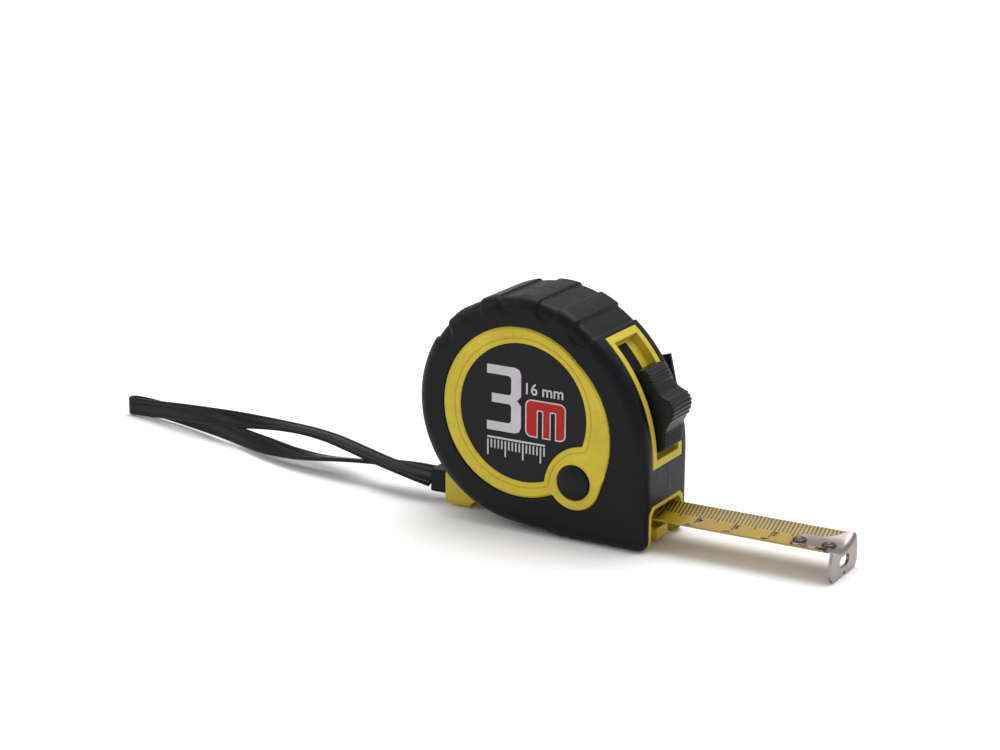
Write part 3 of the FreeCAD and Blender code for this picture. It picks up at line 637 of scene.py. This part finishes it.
def build_strap():
    """The flat band along its crossed line, leaning over as its two strands change sides."""
    line = smooth_line(crossed_route())
    ahead = np.gradient(line, axis=0)
    ahead /= np.linalg.norm(ahead, axis=1)[:, None]
    side = np.cross(ahead, (0, 0, 1.0))
    side /= np.linalg.norm(side, axis=1)[:, None]
    up = np.cross(side, ahead)
    along = (line[:, 0] - DRUM_X) / MM
    out = np.arange(len(line)) < np.argmin(along)
    lean = np.interp(along, LEAN_PLACES, LEANS_BACK) * -1.0
    lean[out] = np.interp(along[out], LEAN_PLACES, LEANS_OUT)
    soft = np.hanning(2 * LEAN_REACH + 1)
    padded = np.pad(lean, LEAN_REACH, mode="edge")
    lean = np.radians(np.convolve(padded, soft / soft.sum(), mode="valid"))
    tall = up * np.cos(lean)[:, None] + side * np.sin(lean)[:, None]
    thin = side * np.cos(lean)[:, None] - up * np.sin(lean)[:, None]
    half_wide, half_skin = STRAP_WIDE / 2, STRAP_SKIN / 2
    bevel, groove = 0.00028, 0.00009
    section = [
        (half_wide, 0.0),
        (half_wide - 0.05 * bevel, half_skin - bevel),
        (half_wide - bevel, half_skin),
        (half_wide - 3.4 * bevel, half_skin),
        (half_wide - 4.0 * bevel, half_skin - groove),
        (half_wide - 4.6 * bevel, half_skin),
        (0.0, half_skin),
    ]
    section += [(-a, b) for a, b in reversed(section[:-1])]
    section += [(-a, -b) for a, b in section[1:-1]]
    points = [line + tall * a + thin * b for a, b in section]
    stack = np.stack(points, axis=1).reshape(-1, 3)
    count, ring = len(line), len(section)
    faces = grid_faces(count, ring, wrap_columns=True)
    faces += [tuple(range(ring)), tuple((count - 1) * ring + i for i in range(ring))]
    mesh = bpy.data.meshes.new("strap_band")
    mesh.from_pydata([tuple(point) for point in stack], [], faces)
    band = bpy.data.objects.new("strap_band", mesh)
    bpy.context.scene.collection.objects.link(band)
    outward(band)
    settled(band, "case", "strap_vinyl", replaces=["wrist_strap"], smooth=50)


# ------------------------------------------------------------------ grips


def softened_copy(node, name, cell, body, slot):
    """A node's shape with its edges rounded over, as soft moulded rubber has them."""
    mesh = frame["nodes"][node].data.copy()
    piece = bpy.data.objects.new(name, mesh)
    bpy.context.scene.collection.objects.link(piece)
    outward(piece)
    remesh = piece.modifiers.new("cells", "REMESH")
    remesh.mode = "VOXEL"
    remesh.voxel_size = cell
    relax = piece.modifiers.new("relax", "SMOOTH")
    relax.factor = 0.5
    relax.iterations = 3
    apply_all(piece)
    return settled(piece, body, slot, replaces=[node], smooth=80)


# ------------------------------------------------------------------ ring and label

RING = (-0.8, AXIS_Z, 21.9)
SWELL = (-0.7, AXIS_Z - 4.5, 25.1)
LOBE = (BUTTON_X, BUTTON_Z, 7.2)
LABEL_RADIUS = 17.8
BITE = (BUTTON_X + 3.5, BUTTON_Z - 2.2, 11.8)
# Where the straight run between the swell and the lobe meets both, in degrees round them.
RING_JOIN = -18.1


def ray_exit(turn, centre_x, centre_z, radius, far=True):
    """Distance from the drum's axis along a ray to where it leaves (or meets) a circle."""
    to_x, to_z = centre_x, centre_z - AXIS_Z
    along = to_x * math.cos(turn) + to_z * math.sin(turn)
    beside = to_x**2 + to_z**2 - along**2
    if radius**2 <= beside or (not far and along < 0):
        return None
    half = math.sqrt(radius**2 - beside)
    return along + half if far else along - half


def join_exit(turn):
    """Distance from the drum's axis to the straight run between the swell and the lobe."""
    lean = math.radians(RING_JOIN)
    ends = []
    for centre_x, centre_z, radius in (SWELL, LOBE):
        ends.append(
            Vector((centre_x + radius * math.cos(lean), centre_z - AXIS_Z + radius * math.sin(lean)))
        )
    run = ends[1] - ends[0]
    ray = Vector((math.cos(turn), math.sin(turn)))
    turned = run.x * ray.y - run.y * ray.x
    if abs(turned) < 1e-9:
        return 0.0
    share = (ray.x * ends[0].y - ray.y * ends[0].x) / turned
    reach = (ends[0] + run * share).dot(ray)
    return reach if 0.0 <= share <= 1.0 else 0.0


def soft_most(values, soft):
    """The largest of the values, rounded over where two of them meet."""
    top = max(values)
    return top + soft * math.log(sum(math.exp((value - top) / soft) for value in values))


def ring_edge(turn):
    """Distance from the drum's axis to the ring's outer edge."""
    degrees = (math.degrees(turn) + 180) % 360 - 180
    reach = [ray_exit(turn, *RING)]
    share = min(1.0, max(0.0, min(degrees + 40.0, 54.0 - degrees) / 8.0))
    if share > 0:
        swell = ray_exit(turn, *SWELL)
        reach[0] += (max(swell, reach[0]) - reach[0]) * share * share * (3 - 2 * share)
    lobe = ray_exit(turn, *LOBE)
    if lobe is not None:
        reach.append(max(lobe, join_exit(turn)))
    return soft_most(reach, 0.35) if len(reach) > 1 else reach[0]


def label_edge(turn, grow):
    """Distance from the drum's axis to the label's edge, moved outwards by grow."""
    rim = LABEL_RADIUS + grow
    bite = ray_exit(turn, BITE[0], BITE[1], BITE[2] - grow, far=False)
    return rim if bite is None else -soft_most([-rim, -bite], 0.25)


def build_ring(side, name, sizes):
    """The crowned yellow ring with its engraved line, as a closed band on the shell."""
    crown = sizes.ring_crown / MM
    inner_rows = [
        (0.02, crown - 0.62),
        (0.02, crown - 0.45),
        (0.10, crown - 0.27),
        (0.30, crown - 0.13),
        (0.70, crown - 0.07),
        (1.16, crown - 0.05),
        (1.24, crown - 0.09),
        (1.30, crown - 0.24),
        (1.52, crown - 0.24),
        (1.58, crown - 0.09),
        (1.66, crown - 0.04),
    ]
    outer_rows = [
        (0.15, 0.0, crown - 0.01),
        (0.35, 0.0, crown),
        (0.60, 0.0, crown),
        (0.80, 0.0, crown - 0.03),
        (1.0, -0.75, crown - 0.08),
        (1.0, -0.40, crown - 0.17),
        (1.0, -0.16, crown - 0.30),
        (1.0, -0.04, crown - 0.48),
        (1.0, -0.04, crown - 0.62),
    ]
    steps = 420
    points = []
    for step in range(steps):
        turn = 2 * math.pi * step / steps
        edge = ring_edge(turn)
        start = label_edge(turn, 1.66)
        reaches = [(label_edge(turn, grow), level) for grow, level in inner_rows]
        reaches += [(start + (edge - start) * s + more, level) for s, more, level in outer_rows]
        for reach, level in reaches:
            points.append((reach * math.cos(turn), side * level, AXIS_Z + reach * math.sin(turn)))
    count = len(inner_rows) + len(outer_rows)
    ring = loose_mesh(name, points, grid_faces(steps, count, True, True))
    ends = sorted((side * 11.0, side * 14.0))
    cut_with(ring, prism("well", round_outline(BUTTON_X, BUTTON_Z, WELL_RADIUS), *ends))
    return settled(ring, "case", "shell_yellow", smooth=50)


def print_text(name, words, height, left, base, side, level, stretch=1.0, heavy=0.0):
    """Flat printed characters on the label, as a thin mesh."""
    curve = bpy.data.curves.new(name, "FONT")
    curve.body = words
    curve.size = 1.0
    curve.extrude = 0.0
    curve.offset = heavy
    holder = bpy.data.objects.new(name, curve)
    bpy.context.scene.collection.objects.link(holder)
    bpy.context.view_layer.update()
    graph = bpy.context.evaluated_depsgraph_get()
    mesh = bpy.data.meshes.new_from_object(holder.evaluated_get(graph))
    bpy.data.objects.remove(holder)
    flat = np.array([vertex.co for vertex in mesh.vertices])
    low, high = flat.min(0), flat.max(0)
    scale = height / (high[1] - low[1])
    across = left + (flat[:, 0] - low[0]) * scale * stretch
    up = base + (flat[:, 1] - low[1]) * scale
    faces = [tuple(face.vertices) for face in mesh.polygons]
    points = np.stack([across, np.full(len(flat), side * level), up], axis=1)
    return points, faces


def thin_print(name, parts, finish, body="case", slot="label_film", skin=0.012):
    """Printed shapes as one piece with a hair of thickness."""
    points, faces = [], []
    for part_points, part_faces in parts:
        start = sum(len(group) for group in points)
        points.append(np.asarray(part_points, float))
        faces += [tuple(index + start for index in face) for face in part_faces]
    points = np.concatenate(points)
    piece = loose_mesh(name, points, faces)
    solid = piece.modifiers.new("skin", "SOLIDIFY")
    solid.thickness = skin * MM
    solid.offset = 0.0
    apply_all(piece)
    return settled(piece, body, slot, finish, smooth=30)


def bar(left, right, low, high, side, level, corner=0.25):
    """A flat rounded rectangle on the label."""
    outline = []
    for centre_x, centre_z, first in (
        (right - corner, high - corner, 0),
        (left + corner, high - corner, 90),
        (left + corner, low + corner, 180),
        (right - corner, low + corner, 270),
    ):
        for step in range(5):
            turn = math.radians(first + 22.5 * step)
            outline.append((centre_x + corner * math.cos(turn), centre_z + corner * math.sin(turn)))
    points = [(x, side * level, z) for x, z in outline]
    return points, [tuple(range(len(points)))]


FIGURE_LEFT, FIGURE_RIGHT, FIGURE_LOW, FIGURE_HIGH = -10.2, -0.5, 25.4, 42.3


def square_three(side, level):
    """A squared figure three: an upright on the right with three arms to the left."""
    tall, thick = 2.35, 2.8
    middle = (FIGURE_LOW + FIGURE_HIGH) / 2
    inner = FIGURE_RIGHT - thick
    arm = FIGURE_LEFT + 1.4
    corners = [
        (FIGURE_LEFT, FIGURE_HIGH),
        (FIGURE_RIGHT - 1.7, FIGURE_HIGH),
        (FIGURE_RIGHT - 0.5, FIGURE_HIGH - 0.5),
        (FIGURE_RIGHT, FIGURE_HIGH - 1.7),
        (FIGURE_RIGHT, middle + 1.2),
        (FIGURE_RIGHT - 1.1, middle),
        (FIGURE_RIGHT, middle - 1.2),
        (FIGURE_RIGHT, FIGURE_LOW + 1.7),
        (FIGURE_RIGHT - 0.5, FIGURE_LOW + 0.5),
        (FIGURE_RIGHT - 1.7, FIGURE_LOW),
        (FIGURE_LEFT, FIGURE_LOW),
        (FIGURE_LEFT, FIGURE_LOW + tall),
        (inner - 0.6, FIGURE_LOW + tall),
        (inner, FIGURE_LOW + tall + 0.6),
        (inner, middle - tall / 2 - 0.5),
        (inner - 0.5, middle - tall / 2),
        (arm, middle - tall / 2),
        (arm, middle + tall / 2),
        (inner - 0.5, middle + tall / 2),
        (inner, middle + tall / 2 + 0.5),
        (inner, FIGURE_HIGH - tall - 0.6),
        (inner - 0.6, FIGURE_HIGH - tall),
        (FIGURE_LEFT, FIGURE_HIGH - tall),
    ]
    return [(x, side * level, z) for x, z in corners], [tuple(range(len(corners)))]


def build_label_print():
    """Plain figures for the length and the width, a red panel and a row of rule marks."""
    level, side = PRINT_LEVEL, -1
    text = [
        square_three(side, level),
        print_text("width", "16 mm", 3.0, 0.9, 36.0, side, level, 0.98, 0.012),
    ]
    marks = []
    rule_left, rule_top, mark_wide = -10.1, 23.0, 0.42
    for step in range(17):
        tall = 4.2 if step % 5 == 0 else 2.3
        left = rule_left + step
        marks.append(bar(left, left + mark_wide, rule_top - tall, rule_top, side, level, 0.12))
    marks.append(bar(rule_left, 6.4, rule_top + 0.3, rule_top + 0.8, side, level, 0.2))
    outline = bar(0.7, 12.1, 25.2, 34.9, side, level, 1.7)
    panel = bar(1.05, 11.75, 25.55, 34.55, side, level + 0.012, 1.4)
    rims, gaps = [], []
    for left in (4.0, 7.6):
        rims.append(bar(left, left + 1.8, 25.2, 32.4, side, level + 0.024, 0.3))
        gaps.append(bar(left + 0.3, left + 1.5, 24.9, 32.1, side, level + 0.036, 0.2))
    thin_print("label_print_pale", text + marks, "pale_print")
    thin_print("label_print_outline", [outline], "pale_print")
    thin_print("label_print_panel", [panel], "red_print")
    thin_print("label_print_rims", rims, "pale_print")
    thin_print("label_print_gaps", gaps, "label_film")


# ------------------------------------------------------------------ button and lock


def build_button(side, name, steps):
    """A domed cap with a rolled rim on its stem."""
    crown, reach_all, rim, dome = 13.78, 4.35, 0.6, 0.55
    reach_dome = reach_all - rim
    domed = [(0.0, crown)]
    for step in range(1, 11):
        reach = reach_dome * step / 10
        domed.append((reach, crown - dome * (reach / reach_all) ** 2))
    for step in range(1, 7):
        turn = math.radians(15.0 * step)
        drop = 0.41 + rim * (1 - math.cos(turn))
        domed.append((reach_dome + rim * math.sin(turn), crown - drop))
    domed += [(reach_all, 12.3), (3.8, 12.3), (3.8, 12.85), (1.6, 12.85), (1.6, 10.2), (0.0, 10.2)]
    points, faces = lathe(
        [(reach, side * along) for reach, along in domed], (BUTTON_X, BUTTON_Z), "y", steps
    )
    cap = loose_mesh(f"{name}_cap", points, faces)
    settled(cap, name, "black_plastic", replaces=[name], smooth=40)


def build_button_spring(name):
    """The wave spring under a cap, as a loose copy of the frame's spring node at rest."""
    node = f"{name}_spring"
    spring = bpy.data.objects.new(f"{name}_wave_spring", frame["nodes"][node].data.copy())
    bpy.context.scene.collection.objects.link(spring)
    settled(spring, None, "spring_steel", "zinc_screw", [node])
    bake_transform(spring)


# Rise of the thumb lock's pad over the crowned front, by its turn in degrees.
CREST = [
    (33.6, -1.0),
    (33.2, 0.6),
    (32.4, 2.1),
    (31.0, 2.6),
    (28.0, 2.65),
    (26.0, 2.6),
    (23.2, 3.4),
    (20.8, 5.1),
    (19.4, 5.6),
    (18.0, 5.7),
    (16.2, 5.2),
    (14.3, 4.2),
    (12.6, 3.1),
    (11.3, 2.3),
    (9.0, 1.75),
    (6.5, 1.4),
    (4.8, 1.1),
    (4.0, 0.4),
    (3.6, -1.0),
]
# Each row of ribs: its upper and lower turn in degrees, and its count of ribs.
RIB_ROWS = [(32.2, 26.4, 5), (21.4, 13.6, 6), (10.4, 4.4, 7)]


def build_thumb_grip(rib):
    """The ribbed thumb pad, its nose and its lower ribs, as a closed cover on the lock."""
    angles = [angle for angle, _ in CREST]
    rises = [rise for _, rise in CREST]
    turns = np.linspace(angles[0], angles[-1], 340)
    crest = np.interp(-turns, [-a for a in angles], rises)
    soft_reach = 7
    kernel = np.hanning(2 * soft_reach + 1)
    kernel /= kernel.sum()
    crest = np.convolve(np.pad(crest, soft_reach, mode="edge"), kernel, mode="valid")
    for top, low, count in RIB_ROWS:
        share = (top - turns) / (top - low)
        inside = (share > 0) & (share < 1)
        wave = 0.5 - 0.5 * np.cos(share * count * 2 * math.pi)
        crest += np.where(inside, rib * wave**0.7, 0.0)
    stations = [
        (-THUMB_HALF, -1.9, True),
        (-THUMB_HALF, -0.55, False),
        (-THUMB_HALF + 0.05, -0.28, False),
        (-THUMB_HALF + 0.18, -0.09, False),
        (-THUMB_HALF + 0.42, 0.0, False),
    ]
    stations += [(y, 0.0, False) for y in (-3.5, -1.7, 0.0, 1.7, 3.5)]
    stations += [(-y, drop, low) for y, drop, low in reversed(stations[:5])]
    points = []
    for turn, rise in zip(np.radians(turns), crest):
        for y, drop, low in stations:
            reach = FRONT_RADIUS + (-1.6 if low else max(rise + drop, -1.5))
            x = FRONT_X + reach * math.cos(turn)
            points.append((x, THUMB_MIDDLE + y, FRONT_Z + reach * math.sin(turn)))
    count = len(stations)
    faces = grid_faces(len(turns), count, wrap_columns=True)
    faces += [tuple(range(count)), tuple((len(turns) - 1) * count + i for i in range(count))]
    cover = loose_mesh("thumb_grip", points, faces)
    return settled(cover, "thumb_lock", "black_plastic", smooth=60)


def build_track_liner():
    """A near-black sheet on the lock's track floor beside its yellow rib: painted shade that stands in
    for a deep, dark slot.
    """
    outline = []
    span = range(8, 46)
    for radius, turns in ((TRACK_FLOOR + 0.06, span), (TRACK_FLOOR, reversed(span))):
        for degrees in turns:
            turn = math.radians(degrees)
            outline.append((FRONT_X + radius * math.cos(turn), FRONT_Z + radius * math.sin(turn)))
    shade_sheet = prism("painted_track_shade", outline, TRACK_NEAR, TRACK_FAR)
    # Painted shade: this thin near-black sheet lies on the track floor where the slot should look deep
    # and dark.
    settled(shade_sheet, "case", "shell_yellow", "slot_shade")


# ------------------------------------------------------------------ blade and hook


def blade_height(across, lift=0.0):
    """Height of the blade's hollow upper face, raised square to it by lift."""
    radius = BLADE_RADIUS - BLADE_SKIN - lift
    return BLADE_CENTRE_Z - np.sqrt(radius**2 - np.asarray(across, float) ** 2)


def build_blade_strip():
    """One curved strip from inside the case to the hook."""
    across = np.linspace(-BLADE_HALF, BLADE_HALF, 25)
    along = np.concatenate([np.linspace(STRIP_START, 40.0, 25), np.linspace(41.0, STRIP_END, 40)])
    points = []
    for x in along:
        points += [(x, y, z) for y, z in zip(across, blade_height(across))]
        points += [(x, y, z) for y, z in zip(across[::-1], blade_height(across[::-1], -BLADE_SKIN))]
    ring = 2 * len(across)
    faces = grid_faces(len(along), ring, wrap_columns=True)
    faces += [tuple(range(ring)), tuple((len(along) - 1) * ring + i for i in range(ring))]
    strip = loose_mesh("blade_strip", points, faces)
    settled(strip, None, "blade_lacquer", replaces=["blade_tip", "blade_feed"], smooth=40)
    start, end = placed([(STRIP_START, 0, 0), (STRIP_FREE, 0, 0)])
    tuple(start)
    tuple(end)
    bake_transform(strip)


def build_numerals():
    """Centimetre figures beside the long ticks and larger ones along the near edge."""
    parts = []
    for number in range(2, 5):
        tick_x = HOOK_FACE - 10.0 * number
        for height, middle_y, shift in ((1.9, 2.5, 0.9), (3.2, -2.1, -0.45)):
            points, faces = print_text("figure", str(number), height, 0.0, 0.0, 1, 0.0, 1.0, 0.02)
            middle = (points.max(0) + points.min(0)) / 2
            x = tick_x + shift - (points[:, 0] - middle[0])
            y = middle_y - (points[:, 2] - middle[2])
            parts.append((np.stack([x, y, blade_height(y, 0.02)], axis=1), faces))
    thin_print("blade_figures", parts, "ink", "blade", "blade_lacquer", 0.01)


def hook_half(x):
    """Half width of the hook's plate: a round nose, a waist, then wide ears at the bend."""
    stops = [HOOK_NOSE, 68.1, 68.6, 69.4, 71.0, 73.4, 75.4, 77.2, 78.6, 79.6, 80.4]
    halves = [1.8, 2.6, 3.3, 3.8, 4.0, 4.0, 4.5, 5.5, 6.6, 7.2, HOOK_HALF]
    return np.interp(x, stops, halves)


def build_hook(skin):
    """A pressed hook: hollow plate, wide rounded bend, and a tab with its nail slot."""
    lift = HOOK_GAP + skin / 2
    bend, columns = 1.25, 33
    face = HOOK_FACE - skin / 2
    across = np.linspace(-1.0, 1.0, columns)
    rows = []
    for x in [HOOK_NOSE, 68.0, 68.4, 68.9, 69.6] + list(np.linspace(70.5, face - bend, 16)):
        y = across * hook_half(x)
        rows.append(np.stack([np.full(columns, x), y, blade_height(y, lift)], axis=1))
    y = across * HOOK_HALF
    top = blade_height(y, lift)
    for turn in np.radians(np.linspace(9, 90, 10)):
        x = np.full(columns, face - bend + bend * math.sin(turn))
        rows.append(np.stack([x, y, top - bend * (1 - math.cos(turn))], axis=1))
    for share in (0.2, 0.4, 0.6, 0.8, 0.9, 1.0):
        z = (top - bend) * (1 - share) + HOOK_LOW * share
        rim = np.interp(z, [HOOK_LOW, HOOK_LOW + 1.2, 5.6, 8.0], [6.8, 8.0, 8.0, HOOK_HALF])
        rows.append(np.stack([np.full(columns, face), across * rim, z], axis=1))
    hook = loose_mesh("hook_plate", np.concatenate(rows), grid_faces(len(rows), columns))
    solid = hook.modifiers.new("skin", "SOLIDIFY")
    solid.thickness = skin * MM
    solid.offset = 0.0
    solid.use_even_offset = True
    apply_all(hook)
    outward(hook)
    slot = []
    slot_half, slot_radius, slot_level = 1.6, 1.4, 3.6
    for centre, first in ((slot_half, -90), (-slot_half, 90)):
        for step in range(13):
            turn = math.radians(first + 15 * step)
            across_slot = centre + slot_radius * math.cos(turn)
            slot.append((across_slot, slot_level + slot_radius * math.sin(turn)))
    cut_with(hook, prism("nail_slot", slot, HOOK_FACE - 3, HOOK_FACE + 2, "yz"))
    notch = [(-0.8, -1.0), (0.8, -1.0), (0.8, 0.75), (0.5, 1.0), (-0.5, 1.0), (-0.8, 0.75)]
    cut_with(hook, prism("notch", notch, HOOK_FACE - 3, HOOK_FACE + 2, "yz"))
    edges = hook.modifiers.new("edges", "BEVEL")
    edges.width = 0.00014
    edges.segments = 3
    edges.limit_method = "ANGLE"
    edges.angle_limit = math.radians(50)
    apply_all(hook)
    return settled(hook, "hook", "hook_nickel", replaces=["end_hook"], smooth=35)


def build_rivets(skin, steps):
    """Two rivets with rolled rims and dished middles, and their tails under the blade."""
    seat = float(blade_height(0.0, HOOK_GAP + skin))
    under = float(blade_height(0.0, -BLADE_SKIN))
    rim = [(0.0, 0.30), (0.45, 0.32), (0.75, 0.44), (1.0, 0.60), (1.25, 0.64), (1.5, 0.54)]
    rim += [(1.68, 0.34), (1.75, 0.12), (1.75, 0.0), (0.9, -0.05)]
    tail = [(0.9, 0.0), (1.45, -0.04), (1.5, -0.2), (1.3, -0.4), (0.8, -0.48), (0.0, -0.5)]
    profile = [(reach, seat + rise) for reach, rise in rim]
    profile += [(reach, under + rise) for reach, rise in tail]
    points, faces = [], []
    for x in RIVET_SPOTS:
        more_points, more_faces = lathe(profile, (x, 0.0), "z", steps)
        faces += [tuple(index + len(points) for index in face) for face in more_faces]
        points += more_points
    rivets = loose_mesh("rivets", points, faces)
    settled(rivets, "blade", "hook_nickel", "rivet_nickel", ["hook_rivets"], 45)


# ------------------------------------------------------------------ stage

CAMERA_TURN, CAMERA_RISE, CAMERA_ROLL = 29.75, 15.91, 0.30
CAMERA_AIM = (-41.26, 37.74, 618.85)
CAMERA_ORIGIN = (34.0, 0.0, 3.3)
CAMERA_LENS = 90.06
FLOOR_SPAN, FLOOR_GAP = 6.0, 0.0002
WORLD_STRENGTH, SKY_STRENGTH, SKY_SPREAD = 0.62, 1.5, 50.0
TOP_POWER, LEFT_POWER = 2.0, 1.4


def place_camera():
    turn, rise, roll = (math.radians(a) for a in (CAMERA_TURN, CAMERA_RISE, CAMERA_ROLL))
    back = Vector((math.sin(turn) * math.cos(rise), -math.cos(turn) * math.cos(rise), math.sin(rise)))
    level = Vector((math.cos(turn), math.sin(turn), 0))
    head = back.cross(level)
    right = level * math.cos(roll) + head * math.sin(roll)
    up = head * math.cos(roll) - level * math.sin(roll)
    spot = level * CAMERA_AIM[0] + head * CAMERA_AIM[1] + back * CAMERA_AIM[2]
    spot = Vector(placed([spot + Vector(CAMERA_ORIGIN)])[0])
    data = bpy.data.cameras.new("camera")
    data.lens = CAMERA_LENS
    data.sensor_width = 36.0
    data.clip_start = 0.01
    camera = bpy.data.objects.new("camera", data)
    bpy.context.scene.collection.objects.link(camera)
    camera.matrix_world = Matrix.Translation(spot) @ Matrix((right, up, back)).transposed().to_4x4()
    bpy.context.scene.camera = camera


def area_light(name, spot, aim, size, power):
    data = bpy.data.lights.new(name, "AREA")
    data.shape = "RECTANGLE"
    data.size, data.size_y = size
    data.energy = power
    light = bpy.data.objects.new(name, data)
    bpy.context.scene.collection.objects.link(light)
    light.location = spot
    light.rotation_euler = (Vector(aim) - Vector(spot)).to_track_quat("-Z", "Y").to_euler()


def build_stage():
    """A white paper floor, an even sky and two soft lights."""
    tree = Tree("floor_paper", Roughness=0.9)
    place = tree.node("ShaderNodeTexCoord", None, None, out="Object")
    mottle = tree.noise(place, 3.0, 2.0)
    tree.feed(Base_Color=tree.blend(mottle, (0.90, 0.90, 0.90, 1), (0.93, 0.93, 0.93, 1)))
    mesh = bpy.data.meshes.new("floor")
    corners = [(-FLOOR_SPAN, -FLOOR_SPAN, 0), (FLOOR_SPAN, -FLOOR_SPAN, 0)]
    corners += [(FLOOR_SPAN, FLOOR_SPAN, 0), (-FLOOR_SPAN, FLOOR_SPAN, 0)]
    mesh.from_pydata(corners, [], [(0, 1, 2, 3)])
    mesh.materials.append(tree.material)
    floor = bpy.data.objects.new("floor", mesh)
    bpy.context.scene.collection.objects.link(floor)
    floor.location.z = min(0.0, CAD_BOX[0][2]) - FLOOR_GAP
    world = bpy.data.worlds.new("studio")
    world.use_nodes = True
    backdrop = world.node_tree.nodes["Background"].inputs
    backdrop["Color"].default_value = (1, 1, 1, 1)
    backdrop["Strength"].default_value = WORLD_STRENGTH
    bpy.context.scene.world = world
    bpy.context.scene.view_settings.view_transform = "Standard"
    sky = bpy.data.lights.new("sky", "SUN")
    sky.energy = SKY_STRENGTH
    sky.angle = math.radians(SKY_SPREAD)
    overhead = bpy.data.objects.new("sky", sky)
    overhead.rotation_euler = (math.radians(-14.0), math.radians(8.0), 0.0)
    bpy.context.scene.collection.objects.link(overhead)
    aim = (0.0, 0.0, 0.03)
    area_light("top", (-0.12, 0.22, 0.75), aim, (0.7, 0.6), TOP_POWER)
    area_light("left", (-0.75, -0.55, 0.45), aim, (0.5, 0.6), LEFT_POWER)


# ------------------------------------------------------------------ operators


class TAPE_OT_camera(Operator):
    """Place the camera"""

    bl_idname = "tape.camera"
    bl_label = "Camera"

    def execute(self, context):
        place_camera()
        return {"FINISHED"}


# Nodes that show a finish other than their record's material slot.
NODE_FINISHES = {"blade_coil": "coil", "hook_bumper": "shell_yellow", "strap_pin": "zinc_screw"}


class TAPE_OT_finishes(Operator):
    """Make every finish and give the frame's own nodes theirs"""

    bl_idname = "tape.finishes"
    bl_label = "Finishes"

    def execute(self, context):
        finishes = make_finishes(context.scene.tape_colours, context.scene.tape_sizes)
        for entry in frame["record"]["subparts"]:
            node, slot = entry["node"], entry["material_slot"]
            data = frame["nodes"][node].data
            data.materials.clear()
            data.materials.append(finishes[NODE_FINISHES.get(node, slot)])
            data.shade_smooth()
            data.set_sharp_from_angle(angle=math.radians(28))
        return {"FINISHED"}


class TAPE_OT_strap(Operator):
    """Lay the wrist strap"""

    bl_idname = "tape.strap"
    bl_label = "Wrist strap"

    def execute(self, context):
        build_strap()
        return {"FINISHED"}


class TAPE_OT_grips(Operator):
    """Mould the two rubber grips"""

    bl_idname = "tape.grips"
    bl_label = "Grips"

    def execute(self, context):
        cell = context.scene.tape_sizes.grip_cell
        for side in ("left", "right"):
            softened_copy(f"{side}_grip", f"{side}_grip_rubber", cell, "case", "grip_rubber")
        return {"FINISHED"}


class TAPE_OT_rings(Operator):
    """Mould the yellow rings and print the label"""

    bl_idname = "tape.rings"
    bl_label = "Rings and label"

    def execute(self, context):
        build_ring(-1, "left_ring", context.scene.tape_sizes)
        build_ring(1, "right_ring", context.scene.tape_sizes)
        build_label_print()
        return {"FINISHED"}


class TAPE_OT_buttons(Operator):
    """Turn the two brake buttons"""

    bl_idname = "tape.buttons"
    bl_label = "Brake buttons"

    def execute(self, context):
        for side, name in ((-1, "left_button"), (1, "right_button")):
            build_button(side, name, context.scene.tape_sizes.lathe_steps)
            build_button_spring(name)
        return {"FINISHED"}


class TAPE_OT_lock(Operator):
    """Mould the ribbed thumb lock"""

    bl_idname = "tape.lock"
    bl_label = "Thumb lock"

    def execute(self, context):
        build_thumb_grip(context.scene.tape_sizes.rib_height / MM)
        build_track_liner()
        return {"FINISHED"}


class TAPE_OT_blade(Operator):
    """Roll the blade and print its figures"""

    bl_idname = "tape.blade"
    bl_label = "Blade"

    def execute(self, context):
        build_blade_strip()
        build_numerals()
        return {"FINISHED"}


class TAPE_OT_hook(Operator):
    """Press the end hook and set its rivets"""

    bl_idname = "tape.hook"
    bl_label = "End hook"

    def execute(self, context):
        sizes = context.scene.tape_sizes
        build_hook(sizes.hook_skin / MM)
        build_rivets(sizes.hook_skin / MM, sizes.lathe_steps)
        return {"FINISHED"}


class TAPE_OT_stage(Operator):
    """Lay the floor and hang the lights"""

    bl_idname = "tape.stage"
    bl_label = "Stage"

    def execute(self, context):
        build_stage()
        return {"FINISHED"}


STEPS = (
    TAPE_OT_camera,
    TAPE_OT_finishes,
    TAPE_OT_strap,
    TAPE_OT_grips,
    TAPE_OT_rings,
    TAPE_OT_buttons,
    TAPE_OT_lock,
    TAPE_OT_blade,
    TAPE_OT_hook,
    TAPE_OT_stage,
)


class TAPE_PT_panel(Panel):
    """Steps and settings of the tape measure"""

    bl_idname = "TAPE_PT_panel"
    bl_label = "Tape measure"
    bl_space_type = "VIEW_3D"
    bl_region_type = "UI"
    bl_category = "Tape"

    def draw(self, context):
        for group in (context.scene.tape_sizes, context.scene.tape_colours):
            for name in group.__annotations__:
                self.layout.prop(group, name)
        for step in STEPS:
            self.layout.operator(step.bl_idname)


CLASSES = (TapeSizes, TapeColours, *STEPS, TAPE_PT_panel)


def register():
    for item in CLASSES:
        bpy.utils.register_class(item)
    bpy.types.Scene.tape_sizes = PointerProperty(type=TapeSizes)
    bpy.types.Scene.tape_colours = PointerProperty(type=TapeColours)


def unregister():
    del bpy.types.Scene.tape_colours
    del bpy.types.Scene.tape_sizes
    for item in reversed(CLASSES):
        bpy.utils.unregister_class(item)


def main():
    register()
    for step in STEPS:
        group, name = step.bl_idname.split(".")
        getattr(getattr(bpy.ops, group), name)()
    bpy.context.view_layer.update()


if __name__ == "__main__":
    main()
